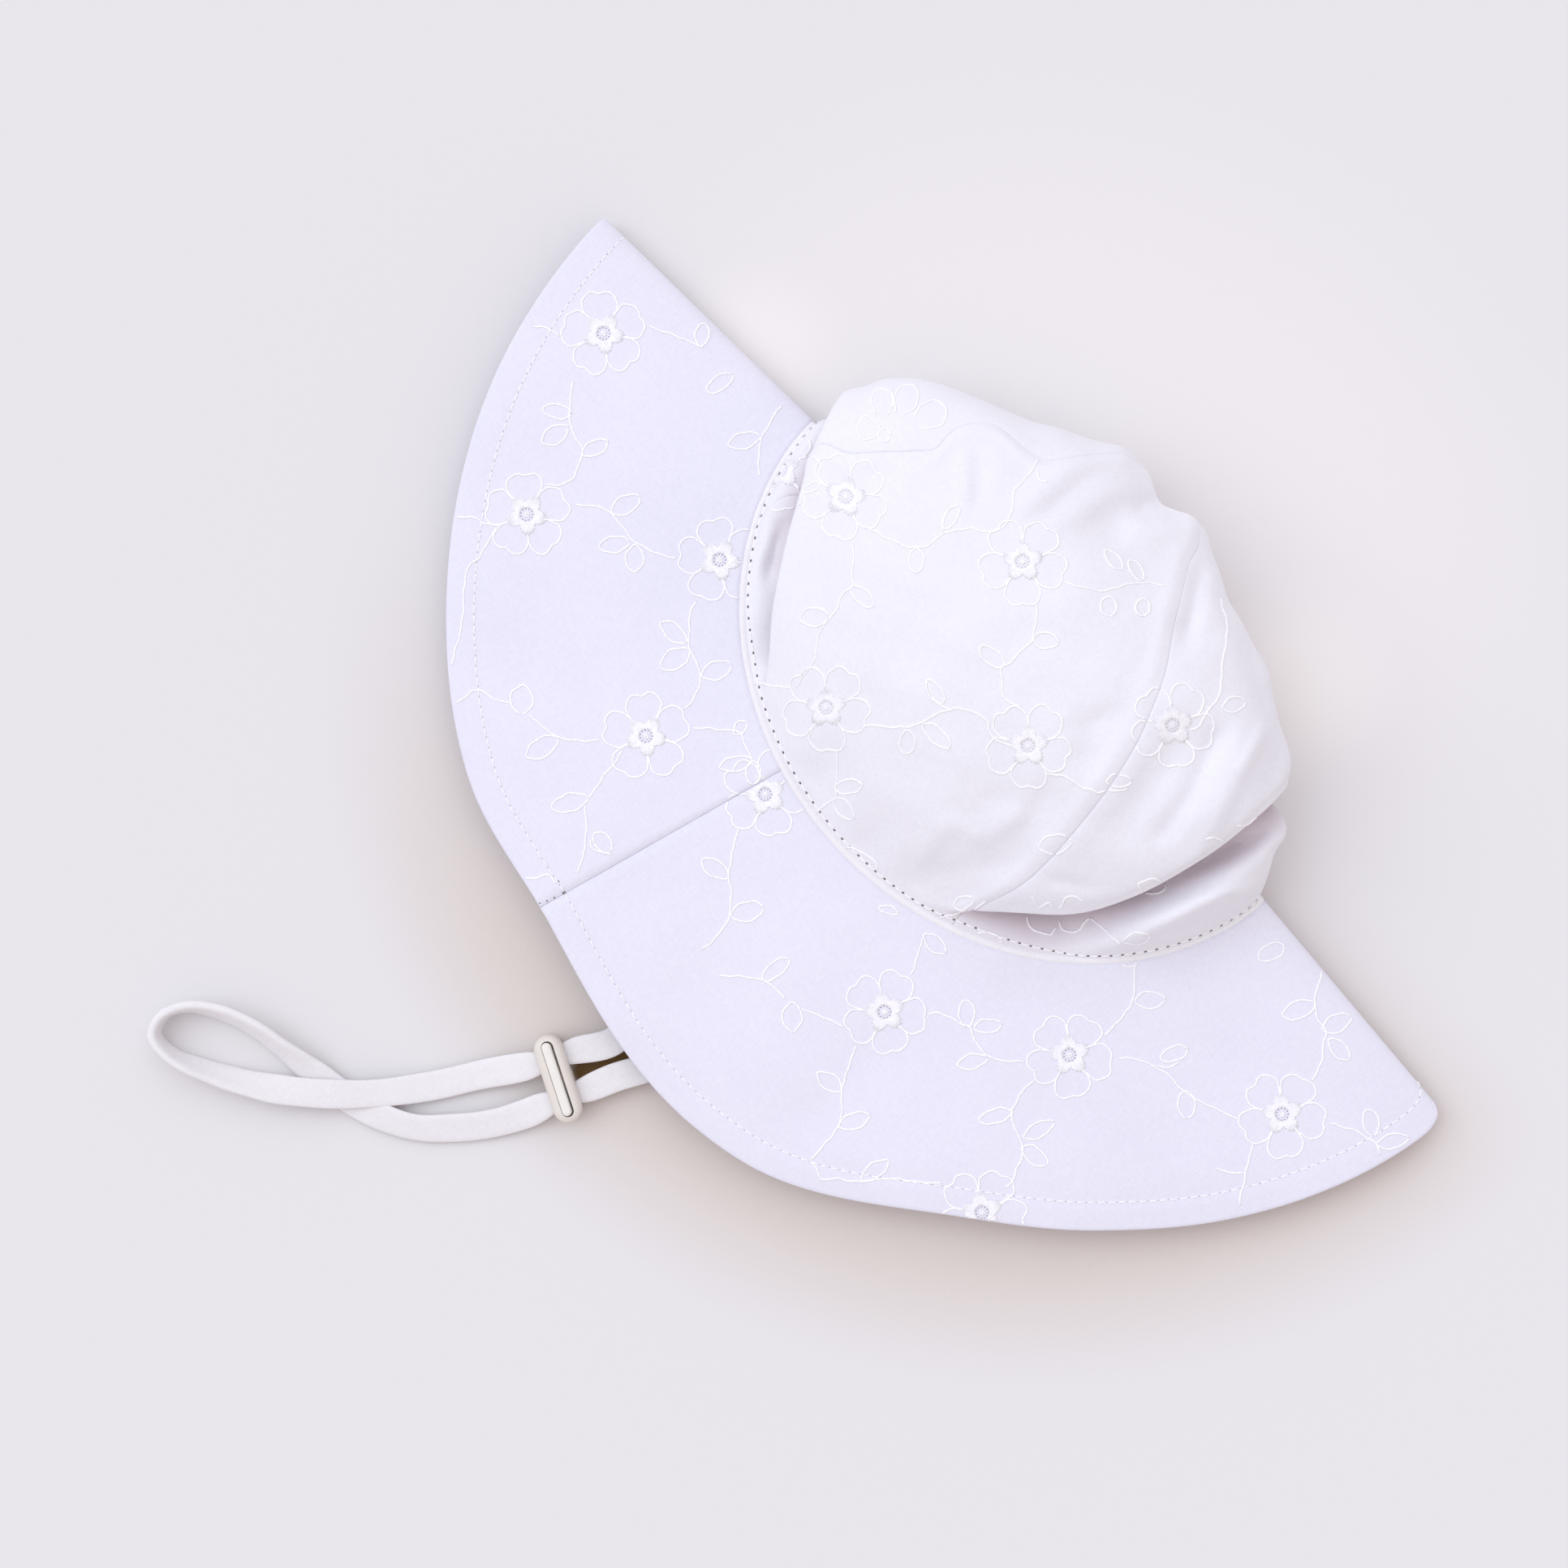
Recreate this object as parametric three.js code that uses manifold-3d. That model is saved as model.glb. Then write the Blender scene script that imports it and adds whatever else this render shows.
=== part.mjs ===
// A baby's cotton sun hat lying on its side, pressed flat so that its brim is doubled, with a chin strap and
// the slider on it. Millimetres, +Z up, resting on z = 0. The origin is on that surface under the middle of
// the head opening. +Y runs from the opening to the top of the crown, +X along the fold of the brim.

import * as THREE from "three";
import { mergeVertices } from "three/addons/utils/BufferGeometryUtils.js";
import Module from "manifold-3d";

// Thicknesses of the cloth, and the gap that sewn pieces keep
const CROWN_WALL = 1.2;
const BRIM_WALL = 1.8;
const SEAM_GAP = 0.3;
const WELT_RADIUS = 1.2;
const WELT_GAP = 0.5;
const WELT_SIDES = 6;

// The head opening lies as half an ellipse in each layer
const HEAD_HALF_WIDTH = 82.4;
const HEAD_DEPTH = 68;
const HEAD_LIFT = 15;
const HEAD_FOLD_Z = 6;
const HEAD_FOLD_ROUND = 0.1;

// Turns go round the hat in degrees: 0 at the left fold, 90 up, 180 at the right fold, 270 underneath
const UNDERNEATH = 270;
const BRIM_SEAM_TURN = 73;

// A ring round the head opening, set in towards the crown or, where inset is less than 0, out to the brim
const headRing = (inset, floorZ) => ({
  up: 0,
  leftX: inset - HEAD_HALF_WIDTH,
  leftY: 0,
  rightX: HEAD_HALF_WIDTH - inset,
  rightY: 0,
  midY: inset - HEAD_DEPTH,
  topZ: HEAD_LIFT,
  endZ: HEAD_FOLD_Z,
  floorZ,
  round: HEAD_FOLD_ROUND,
});
const WELT_ROOM = WELT_RADIUS + WELT_GAP;
const BRIM_INNER = headRing(-WELT_ROOM, BRIM_WALL / 2);
const WELT_LIFT = 0.1;
const WELT_LINE = headRing(0, WELT_RADIUS + WELT_LIFT);

// Rings of the crown from the head opening (up 0) to the top (up 1). Each lies between a left and a right
// end on the outline, sags to midY between them, rises to topZ and rests at floorZ, middle of the cloth.
const CROWN_RINGS = [
  headRing(WELT_ROOM, CROWN_WALL / 2),
  { up: 0.15, leftX: -80.6, leftY: 9, rightX: 79.2, rightY: 6.5, midY: -50, topZ: 33, endZ: 11,
    floorZ: 0.6, round: 0.2 },
  { up: 0.3, leftX: -78.2, leftY: 18, rightX: 74.5, rightY: 14.5, midY: -30, topZ: 46, endZ: 16,
    floorZ: 0.6, round: 0.3 },
  { up: 0.45, leftX: -70, leftY: 26.5, rightX: 66.5, rightY: 23.5, midY: -9, topZ: 52.5, endZ: 19,
    floorZ: 0.6, round: 0.35 },
  { up: 0.6, leftX: -58, leftY: 32.5, rightX: 55.5, rightY: 30.5, midY: 9, topZ: 53, endZ: 20,
    floorZ: 0.6, round: 0.38 },
  { up: 0.75, leftX: -43, leftY: 39, rightX: 40, rightY: 37.5, midY: 27, topZ: 47, endZ: 20,
    floorZ: 0.6, round: 0.38 },
  { up: 0.9, leftX: -27.5, leftY: 48, rightX: 22, rightY: 44, midY: 42, topZ: 36, endZ: 19,
    floorZ: 0.6, round: 0.38 },
  { up: 1.0, leftX: -18, leftY: 51, rightX: 7, rightY: 49.5, midY: 48.5, topZ: 27, endZ: 18,
    floorZ: 7, round: 0.38 },
];

// Where the upper side panel's seams run: the turn of its left and right edge at each ring. The lower side
// panel keeps between two turns.
const PANEL_SEAMS = [
  { up: 0.0, left: 25.5, right: 114 },
  { up: 0.2, left: 22.5, right: 118.2 },
  { up: 0.33, left: 30, right: 118.6 },
  { up: 0.5, left: 34, right: 118 },
  { up: 0.56, left: 26.5, right: 117.2 },
  { up: 0.64, left: 22, right: 116 },
  { up: 0.75, left: 38, right: 112 },
  { up: 0.87, left: 30, right: 110 },
  { up: 1.0, left: 20, right: 128 },
];
const LOWER_PANEL = { from: 204, to: 296 };
const PANEL_COLUMNS = 16;
const STRIP_COLUMNS = 10;
const CROWN_ROWS = 24;
const ROW_SPREAD = 1.2;
const LOWER_PANEL_ROWS = 17;

// Tucks where the crown has slumped over the head opening: at each turn, the ring under which the cloth goes
// in. It goes in under the crown by depth and sinks, then comes back to a lip that stands inside the ring.
const LEFT_TUCK = [
  { turn: -24, under: 0.085 },
  { turn: 20, under: 0.06 },
  { turn: 42, under: 0.02 },
  { turn: 62, under: 0 },
];
const RIGHT_TUCK = [
  { turn: 106, under: 0 },
  { turn: 130, under: 0.01 },
  { turn: 140, under: 0.085 },
  { turn: 149, under: 0.19 },
  { turn: 160, under: 0.27 },
  { turn: 175, under: 0.35 },
  { turn: 198, under: 0.4 },
];
const TUCKS = [
  { line: LEFT_TUCK, fade: 26, lipAfter: 0.08, width: 0.048, depth: 13, lip: -1.5, sink: 4 },
  { line: RIGHT_TUCK, fade: 30, lipAfter: 0.085, width: 0.055, depth: 15, lip: 4, sink: 5 },
];
const TUCK_START = 0.05;
const CROWN_MIDDLE = new THREE.Vector2(0, -8);

// Soft creases of the crown's upper side, each along a straight line in plan. A depth under 0 is a ridge.
const CREASES = [
  { fromX: 36.6, fromY: 13.6, toX: 42, toY: -15.6, width: 6, depth: 3 },
  { fromX: 45.9, fromY: 25, toX: 53.5, toY: -4, width: 5, depth: -2.5 },
  { fromX: -30.5, fromY: 22, toX: -23.6, toY: 44, width: 6, depth: -2 },
  { fromX: -15, fromY: 28, toX: -8, toY: 47, width: 6, depth: 2.5 },
  { fromX: 63, fromY: -34, toX: 69, toY: 1, width: 6, depth: -3 },
  { fromX: 20, fromY: -60, toX: 31, toY: -38, width: 9, depth: 2.5 },
];
const CREASE_FADE = 0.3;

// The brim's outer edge: its reach from the middle of the opening and its height at each turn of the upper
// layer. The lower layer is set in a little and lies flat.
const BRIM_EDGE = [
  { turn: 0, reach: 157, rise: 7 },
  { turn: 30, reach: 153, rise: 8 },
  { turn: 54, reach: 147.4, rise: 9 },
  { turn: 75, reach: 139, rise: 11 },
  { turn: 104, reach: 146, rise: 9.5 },
  { turn: 130, reach: 139.3, rise: 11 },
  { turn: 156, reach: 148, rise: 8.5 },
  { turn: 180, reach: 155, rise: 7.5 },
];
const BRIM_TIP = { left: { y: -3, round: 0.03 }, right: { y: -3.5, round: 0.07 }, endZ: 3.5 };
const BRIM_UNDER_INSET = 2.5;
const BRIM_ROWS = 6;
const BRIM_COLUMNS = { long: 18, short: 13, crowding: 1.6 };
const WELT_COLUMNS = { long: 24, short: 18, crowding: 1.4 };

// The chin strap: a flat cotton tube from inside the upper layer, out between the layers of the brim, through
// the slider, round its loop on the surface and back to the lower layer. roll is its twist in degrees.
const STRAP = { width: 7.4, thickness: 1.6, edge: 0.64, steps: 80 };
const STRAP_ROUTE = [
  { x: -24, y: -57, z: 14.4, roll: 0 },
  { x: -23.7, y: -66, z: 11.9, roll: 0 },
  { x: -20, y: -82, z: 7.6, roll: 0 },
  { x: -14, y: -104, z: 4.6, roll: 0 },
  { x: -8, y: -126, z: 3.3, roll: 0 },
  { x: -3.4, y: -143, z: 3.5, roll: 0 },
  { x: -8.6, y: -153, z: 3.6, roll: 0 },
  { x: -13.4, y: -163.2, z: 3.4, roll: 0 },
  { x: -19.8, y: -173.5, z: 1.6, roll: 0 },
  { x: -26.7, y: -185.3, z: 1.2, roll: 0 },
  { x: -35.1, y: -196.8, z: 2.6, roll: 0 },
  { x: -44.5, y: -206.8, z: 3.6, roll: 2 },
  { x: -55.3, y: -216, z: 3.2, roll: 14 },
  { x: -67.7, y: -223.6, z: 3, roll: 32 },
  { x: -78.3, y: -228, z: 3.4, roll: 50 },
  { x: -84.6, y: -227.4, z: 3.9, roll: 66 },
  { x: -86.6, y: -222.4, z: 4.2, roll: 74 },
  { x: -84, y: -216.6, z: 4, roll: 70 },
  { x: -77.8, y: -211.8, z: 3.6, roll: 58 },
  { x: -69.4, y: -208.3, z: 3, roll: 40 },
  { x: -60.4, y: -206.5, z: 2.2, roll: 20 },
  { x: -50.8, y: -205.2, z: 1.2, roll: 4 },
  { x: -41.5, y: -203.7, z: 1, roll: 0 },
  { x: -31, y: -200.6, z: 1, roll: 0 },
  { x: -22.2, y: -195.8, z: 1, roll: 0 },
  { x: -15.7, y: -189.2, z: 1, roll: 0 },
  { x: -9.8, y: -181.5, z: 1.2, roll: 0 },
  { x: -5.4, y: -173, z: 2.2, roll: 0 },
  { x: -3.4, y: -167, z: 3.5, roll: 0 },
  { x: 0.6, y: -157.4, z: 3.6, roll: 0 },
  { x: 3.6, y: -149.6, z: 3.6, roll: 0 },
  { x: 7.6, y: -141.5, z: 3.4, roll: 0 },
  { x: 12.5, y: -127, z: 2.95, roll: 0 },
  { x: 18, y: -105, z: 2.95, roll: 0 },
  { x: 22, y: -82, z: 3, roll: 0 },
  { x: 23.7, y: -68, z: 3.9, roll: 0 },
  { x: 24, y: -56, z: 2.4, roll: 0 },
];

// The slider: a stadium-shaped shell with a flat tunnel for both strands and a slot above it for the bar
const SLIDER = { x: -6.3, y: -160.3, turn: -25.2, length: 23, width: 7.4, height: 8, bevel: 1.2 };
const TUNNEL = { length: 18.6, height: 2.5, floor: 2.3 };
const BAR = { length: 19.4, width: 2.5, bottom: 5.05, top: 8.3, bevel: 0.5, play: 0.3 };

const MOULDING = { bevelSegments: 2, curveSegments: 6 };
const WELD = 1e-4;

const degrees = THREE.MathUtils.degToRad;
const { clamp, lerp, smoothstep } = THREE.MathUtils;
const wasm = await Module();
wasm.setup();

// Reads one column of a table at a place between its rows, along a smooth curve that never overshoots them
function read(rows, key, at, column) {
  const last = rows.length - 1;
  if (at <= rows[0][key]) return rows[0][column];
  if (at >= rows[last][key]) return rows[last][column];
  const slope = (k) => (rows[k + 1][column] - rows[k][column]) / (rows[k + 1][key] - rows[k][key]);
  const tangent = (k) => {
    if (k === 0) return slope(0);
    if (k === last) return slope(last - 1);
    const before = slope(k - 1);
    const after = slope(k);
    return before * after <= 0 ? 0 : (2 * before * after) / (before + after);
  };
  const i = rows.findIndex((row) => row[key] > at) - 1;
  const span = rows[i + 1][key] - rows[i][key];
  const u = (at - rows[i][key]) / span;
  const rise = rows[i + 1][column] - rows[i][column];
  const start = tangent(i) * span;
  const end = tangent(i + 1) * span;
  return rows[i][column] + u * (start + u * (3 * rise - 2 * start - end + u * (start + end - 2 * rise)));
}

// How far a layer has left its fold: 0 at the fold and 1 where it lies flat
const FOLD_SPREAD = 2.5;
function settled(away, round) {
  return 1 - (1 - clamp(away / (FOLD_SPREAD * round), 0, 1)) ** 3;
}

// A size without its sign, rounded off near zero, so that two layers meet in a soft fold
const FOLD_SOFTNESS = 0.6;
function softSize(value, round) {
  const soft = FOLD_SOFTNESS * round;
  return (Math.hypot(value, soft) - soft) / (Math.hypot(1, soft) - soft);
}

function bell(value) {
  return Math.exp(-value * value);
}

// A point of a ring of the crown at a turn round the hat
function ringPoint(ring, turn) {
  const across = -Math.cos(degrees(turn));
  const lift = Math.sin(degrees(turn));
  const away = Math.abs(lift);
  const endY = lerp(ring.leftY, ring.rightY, (1 + across) / 2);
  const rise = (settled(away, ring.round) + away) / 2;
  return new THREE.Vector3(
    (ring.leftX + ring.rightX) / 2 + ((ring.rightX - ring.leftX) / 2) * across,
    endY + (ring.midY - endY) * softSize(lift, ring.round),
    lift > 0 ? lerp(ring.endZ, ring.topZ, rise) : lerp(ring.endZ, ring.floorZ, settled(away, ring.round)),
  );
}

// How far the creases press the crown's upper side down at a place in plan
function creased(point) {
  let pressed = 0;
  for (const crease of CREASES) {
    const run = new THREE.Vector2(crease.toX - crease.fromX, crease.toY - crease.fromY);
    const off = new THREE.Vector2(point.x - crease.fromX, point.y - crease.fromY);
    const along = off.dot(run) / run.lengthSq();
    const aside = off.cross(run) / run.length();
    const begun = smoothstep(along, -CREASE_FADE, CREASE_FADE);
    const ended = smoothstep(along, 1 - CREASE_FADE, 1 + CREASE_FADE);
    pressed += crease.depth * begun * (1 - ended) * bell(aside / crease.width);
  }
  return pressed;
}

function crownPoint(turn, up) {
  const ring = {};
  for (const column of Object.keys(CROWN_RINGS[0])) ring[column] = read(CROWN_RINGS, "up", up, column);
  const point = ringPoint(ring, turn);
  const inward = CROWN_MIDDLE.clone().sub(point).normalize();
  const place = turn > UNDERNEATH ? turn - 360 : turn;
  for (const tuck of TUCKS) {
    const from = tuck.line[0].turn;
    const to = tuck.line.at(-1).turn;
    const begun = smoothstep(place, from, from + tuck.fade);
    const strength = begun * (1 - smoothstep(place, to - tuck.fade, to));
    const under = read(tuck.line, "turn", place, "under");
    const pressed = strength * bell((up - under) / tuck.width) * smoothstep(up, 0, TUCK_START);
    const lipped = strength * bell((up - under - tuck.lipAfter) / tuck.width);
    const shift = tuck.depth * pressed + tuck.lip * lipped;
    point.x += inward.x * shift;
    point.y += inward.y * shift;
    point.z -= tuck.sink * pressed;
  }
  const lift = Math.sin(degrees(turn));
  if (lift > 0) point.z -= creased(point) * lift * smoothstep(up, 0, TUCK_START);
  point.z = Math.max(point.z, CROWN_WALL / 2);
  return point;
}

// A point of the brim between the head opening (out 0) and its outer edge (out 1)
function brimPoint(turn, out) {
  const angle = degrees(turn);
  const lift = Math.sin(angle);
  const away = Math.abs(lift);
  const tip = Math.cos(angle) > 0 ? BRIM_TIP.left : BRIM_TIP.right;
  const upper = THREE.MathUtils.radToDeg(Math.acos(Math.cos(angle)));
  const flat = settled(away, tip.round);
  const reach = read(BRIM_EDGE, "turn", upper, "reach") - (lift < 0 ? BRIM_UNDER_INSET * flat : 0);
  const edgeZ = lift > 0 ? read(BRIM_EDGE, "turn", upper, "rise") : BRIM_WALL / 2;
  const edge = new THREE.Vector3(
    -reach * Math.cos(angle),
    tip.y - (reach + tip.y) * softSize(lift, tip.round),
    lerp(BRIM_TIP.endZ, edgeZ, flat),
  );
  return ringPoint(BRIM_INNER, turn).lerp(edge, out);
}

// A cloth wall: the cells of a sheet of points, each a ring of point numbers, given a thickness and closed
// along their free edges, which draw back by half the gap of a seam. The sheet's own cells give its normals.
function clothWall(points, sheetCells, cells, thickness) {
  const normals = points.map(() => new THREE.Vector3());
  for (const cell of sheetCells) {
    const diagonal = points[cell[2]].clone().sub(points[cell[0]]);
    const other = points[cell.at(-1)].clone().sub(points[cell[1]]);
    const normal = diagonal.cross(other);
    for (const corner of cell) normals[corner].add(normal);
  }
  const edges = new Map();
  for (const cell of cells) {
    cell.forEach((corner, k) => {
      const next = cell[(k + 1) % cell.length];
      edges.set(`${corner} ${next}`, [corner, next]);
    });
  }
  const free = [...edges.values()].filter(([a, b]) => !edges.has(`${b} ${a}`));
  const edgeways = new Map();
  for (const [a, b] of free) {
    const run = points[b].clone().sub(points[a]).normalize();
    for (const corner of [a, b]) {
      if (!edgeways.has(corner)) edgeways.set(corner, new THREE.Vector3());
      edgeways.get(corner).add(run);
    }
  }
  const positions = [];
  const place = new Map();
  for (const corner of new Set(cells.flat())) {
    const normal = normals[corner].normalize();
    const point = points[corner].clone();
    const run = edgeways.get(corner);
    if (run) point.add(normal.clone().cross(run).setLength(SEAM_GAP / 2));
    place.set(corner, positions.length / 3);
    for (const side of [0.5, -0.5]) {
      positions.push(...point.clone().addScaledVector(normal, side * thickness));
    }
  }
  const faces = [];
  const outer = (corner) => place.get(corner);
  const inner = (corner) => place.get(corner) + 1;
  for (const cell of cells) {
    for (let k = 1; k + 1 < cell.length; k += 1) {
      faces.push(outer(cell[0]), outer(cell[k]), outer(cell[k + 1]));
      faces.push(inner(cell[0]), inner(cell[k + 1]), inner(cell[k]));
    }
  }
  for (const [a, b] of free) faces.push(outer(b), outer(a), inner(a), outer(b), inner(a), inner(b));
  const geometry = new THREE.BufferGeometry();
  geometry.setAttribute("position", new THREE.Float32BufferAttribute(positions, 3));
  geometry.setIndex(faces);
  return geometry;
}

// The crown's sheet of points, and its cells sorted into the two side panels and the strip between them
function crownSheet() {
  const stretches = [PANEL_COLUMNS, STRIP_COLUMNS, PANEL_COLUMNS, STRIP_COLUMNS];
  const around = 2 * (PANEL_COLUMNS + STRIP_COLUMNS);
  const turns = (up) => {
    const left = read(PANEL_SEAMS, "up", up, "left");
    const right = read(PANEL_SEAMS, "up", up, "right");
    const marks = [left, right, LOWER_PANEL.from, LOWER_PANEL.to, left + 360];
    return stretches.flatMap((count, s) =>
      Array.from({ length: count }, (_, k) => lerp(marks[s], marks[s + 1], k / count) % 360));
  };
  const rows = Array.from({ length: CROWN_ROWS + 1 }, (_, j) => {
    const up = (j / CROWN_ROWS) ** ROW_SPREAD;
    return turns(up).map((turn) => crownPoint(turn, up));
  });
  const points = rows.flat();
  const panels = { upper: [], lower: [], strip: [] };
  for (let j = 0; j < CROWN_ROWS; j += 1) {
    for (let i = 0; i < around; i += 1) {
      const next = (i + 1) % around;
      const cell = [j * around + i, (j + 1) * around + i, (j + 1) * around + next, j * around + next];
      const below = i - PANEL_COLUMNS - STRIP_COLUMNS;
      const onLower = below >= 0 && below < PANEL_COLUMNS && j < LOWER_PANEL_ROWS;
      let owner = "strip";
      if (i < PANEL_COLUMNS) owner = "upper";
      if (onLower) owner = "lower";
      panels[owner].push(cell);
    }
  }
  // The last ring is closed by cells from its upper side to its lower side
  const first = CROWN_ROWS * around;
  const half = around / 2;
  const leftEnd = around - STRIP_COLUMNS / 2;
  for (let k = 0; k < half; k += 1) {
    const at = (step) => first + ((leftEnd + step + around) % around);
    const ring = [at(k), at(-k), at(-k - 1), at(k + 1)];
    panels.strip.push([...new Set(ring)]);
  }
  return { points, panels };
}

// Turns of columns from one side seam of the brim to the other, crowded towards the fold between them
function turnsAbout(fold, columns) {
  const turns = [];
  for (let k = -columns.long; k <= columns.short; k += 1) {
    const [count, reach] = k < 0 ? [columns.long, BRIM_SEAM_TURN - 180] : [columns.short, BRIM_SEAM_TURN];
    turns.push(fold + reach * (Math.abs(k) / count) ** columns.crowding);
  }
  return turns;
}

function brimHalf(fold) {
  const turns = turnsAbout(fold, BRIM_COLUMNS);
  const columns = turns.map((turn) =>
    Array.from({ length: BRIM_ROWS + 1 }, (_, j) => brimPoint(turn, j / BRIM_ROWS)));
  const tall = BRIM_ROWS + 1;
  const cells = [];
  for (let i = 0; i + 1 < turns.length; i += 1) {
    for (let j = 0; j < BRIM_ROWS; j += 1) {
      cells.push([i * tall + j, (i + 1) * tall + j, (i + 1) * tall + j + 1, i * tall + j + 1]);
    }
  }
  return clothWall(columns.flat(), cells, cells, BRIM_WALL);
}

// The line of the head seam once round the hat, with its points crowded towards the folds
class HeadSeam extends THREE.Curve {
  constructor() {
    super();
    this.turns = [180, 360].flatMap((fold) => turnsAbout(fold, WELT_COLUMNS).slice(0, -1));
  }

  getPoint(u) {
    const at = (u % 1) * this.turns.length;
    return ringPoint(WELT_LINE, this.turns[Math.round(at) % this.turns.length]);
  }

  getPointAt(u) {
    return this.getPoint(u);
  }

  getTangentAt(u) {
    const step = 1 / this.turns.length;
    return this.getPoint(u + step).sub(this.getPoint(u + 1 - step)).normalize();
  }
}

function headWelt() {
  const seam = new HeadSeam();
  return new THREE.TubeGeometry(seam, seam.turns.length, WELT_RADIUS, WELT_SIDES, true);
}

// The strap's route, whose frames lie flat on the surface apart from the roll in its table
class StrapRoute extends THREE.CatmullRomCurve3 {
  constructor(rows) {
    super(rows.map((row) => new THREE.Vector3(row.x, row.y, row.z)), false, "centripetal");
    this.rolls = rows.map((row, at) => ({ at, roll: row.roll }));
  }

  computeFrenetFrames(segments) {
    const tangents = [];
    const normals = [];
    const binormals = [];
    for (let k = 0; k <= segments; k += 1) {
      const tangent = this.getTangentAt(k / segments);
      const place = this.getUtoTmapping(k / segments) * (this.rolls.length - 1);
      const roll = degrees(read(this.rolls, "at", place, "roll"));
      const across = new THREE.Vector3(0, 0, 1).cross(tangent).normalize();
      const normal = across.applyAxisAngle(tangent, roll);
      tangents.push(tangent);
      normals.push(normal);
      binormals.push(tangent.clone().cross(normal));
    }
    return { tangents, normals, binormals };
  }
}

function chinStrap() {
  const halfWidth = STRAP.width / 2;
  const half = STRAP.thickness / 2;
  const shoulder = halfWidth - half;
  const edge = STRAP.edge / 2;
  const section = new THREE.Shape([
    new THREE.Vector2(halfWidth, -edge),
    new THREE.Vector2(halfWidth, edge),
    new THREE.Vector2(shoulder, half),
    new THREE.Vector2(-shoulder, half),
    new THREE.Vector2(-halfWidth, edge),
    new THREE.Vector2(-halfWidth, -edge),
    new THREE.Vector2(-shoulder, -half),
    new THREE.Vector2(shoulder, -half),
  ]);
  return new THREE.ExtrudeGeometry(section, { steps: STRAP.steps, extrudePath: new StrapRoute(STRAP_ROUTE) });
}

// A round-ended block standing on z = bottom, with its edges eased by a bevel
function stadiumBlock(length, width, bottom, top, bevel) {
  const radius = width / 2 - bevel;
  const straight = (length - width) / 2;
  const outline = new THREE.Shape();
  outline.absarc(straight, 0, radius, -Math.PI / 2, Math.PI / 2);
  outline.absarc(-straight, 0, radius, Math.PI / 2, (3 * Math.PI) / 2);
  const block = new THREE.ExtrudeGeometry(outline, {
    depth: top - bottom - 2 * bevel,
    bevelEnabled: bevel > 0,
    bevelThickness: bevel,
    bevelSize: bevel,
    ...MOULDING,
  });
  return block.translate(0, 0, bottom + bevel);
}

function toSolid(geometry) {
  const bare = geometry.clone();
  bare.deleteAttribute("normal");
  bare.deleteAttribute("uv");
  const merged = mergeVertices(bare, WELD);
  return new wasm.Manifold(new wasm.Mesh({
    numProp: 3,
    vertProperties: Float32Array.from(merged.attributes.position.array),
    triVerts: Uint32Array.from(merged.index.array),
  }));
}

function toGeometry(solid) {
  const mesh = solid.getMesh();
  const geometry = new THREE.BufferGeometry();
  geometry.setAttribute("position", new THREE.BufferAttribute(mesh.vertProperties, 3));
  geometry.setIndex(new THREE.BufferAttribute(mesh.triVerts, 1));
  return geometry;
}

function sliderShell() {
  const block = stadiumBlock(SLIDER.length, SLIDER.width, 0, SLIDER.height, SLIDER.bevel);
  const tunnel = new THREE.BoxGeometry(TUNNEL.length, 2 * SLIDER.width, TUNNEL.height);
  tunnel.translate(0, 0, TUNNEL.floor + TUNNEL.height / 2);
  const slotLength = BAR.length + 2 * BAR.play;
  const slotWidth = BAR.width + 2 * BAR.play;
  const slot = stadiumBlock(slotLength, slotWidth, TUNNEL.floor + TUNNEL.height / 2, 2 * SLIDER.height, 0);
  return toGeometry(toSolid(block).subtract(toSolid(tunnel)).subtract(toSolid(slot)));
}

function sliderBar() {
  return stadiumBlock(BAR.length, BAR.width, BAR.bottom, BAR.top, BAR.bevel);
}

const cotton = (color) => new THREE.MeshStandardMaterial({ color, roughness: 0.9, metalness: 0 });
const plastic = (color) => new THREE.MeshStandardMaterial({ color, roughness: 0.35, metalness: 0 });

function piece(name, geometry, material) {
  const mesh = new THREE.Mesh(geometry, material);
  mesh.name = name;
  return mesh;
}

const { points, panels } = crownSheet();
const allCells = [...panels.upper, ...panels.lower, ...panels.strip];
const crown = new THREE.Group();
const panel = (name, cells, color) =>
  piece(name, clothWall(points, allCells, cells, CROWN_WALL), cotton(color));
crown.add(panel("crown_side_left", panels.upper, "#f4f3fb"));
crown.add(panel("crown_side_right", panels.lower, "#f4f3fb"));
crown.add(panel("crown_centre", panels.strip, "#f3f3fa"));

const brim = new THREE.Group();
brim.add(piece("head_welt", headWelt(), cotton("#f6f3f5")));
brim.add(piece("brim_front", brimHalf(180), cotton("#eeecf9")));
brim.add(piece("brim_back", brimHalf(360), cotton("#efeefb")));

const slider = new THREE.Group();
slider.position.set(SLIDER.x, SLIDER.y, 0);
slider.rotation.z = degrees(SLIDER.turn);
slider.add(piece("slider_shell", sliderShell(), plastic("#efeadf")));
slider.add(piece("slider_bar", sliderBar(), plastic("#ece6d8")));

const hat = new THREE.Group();
hat.add(crown, brim, piece("chin_strap", chinStrap(), cotton("#f2f1f7")), slider);

export default hat;
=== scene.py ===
import bpy
import math
import numpy as np
from mathutils import Matrix, Vector
from mathutils.bvhtree import BVHTree


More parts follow.
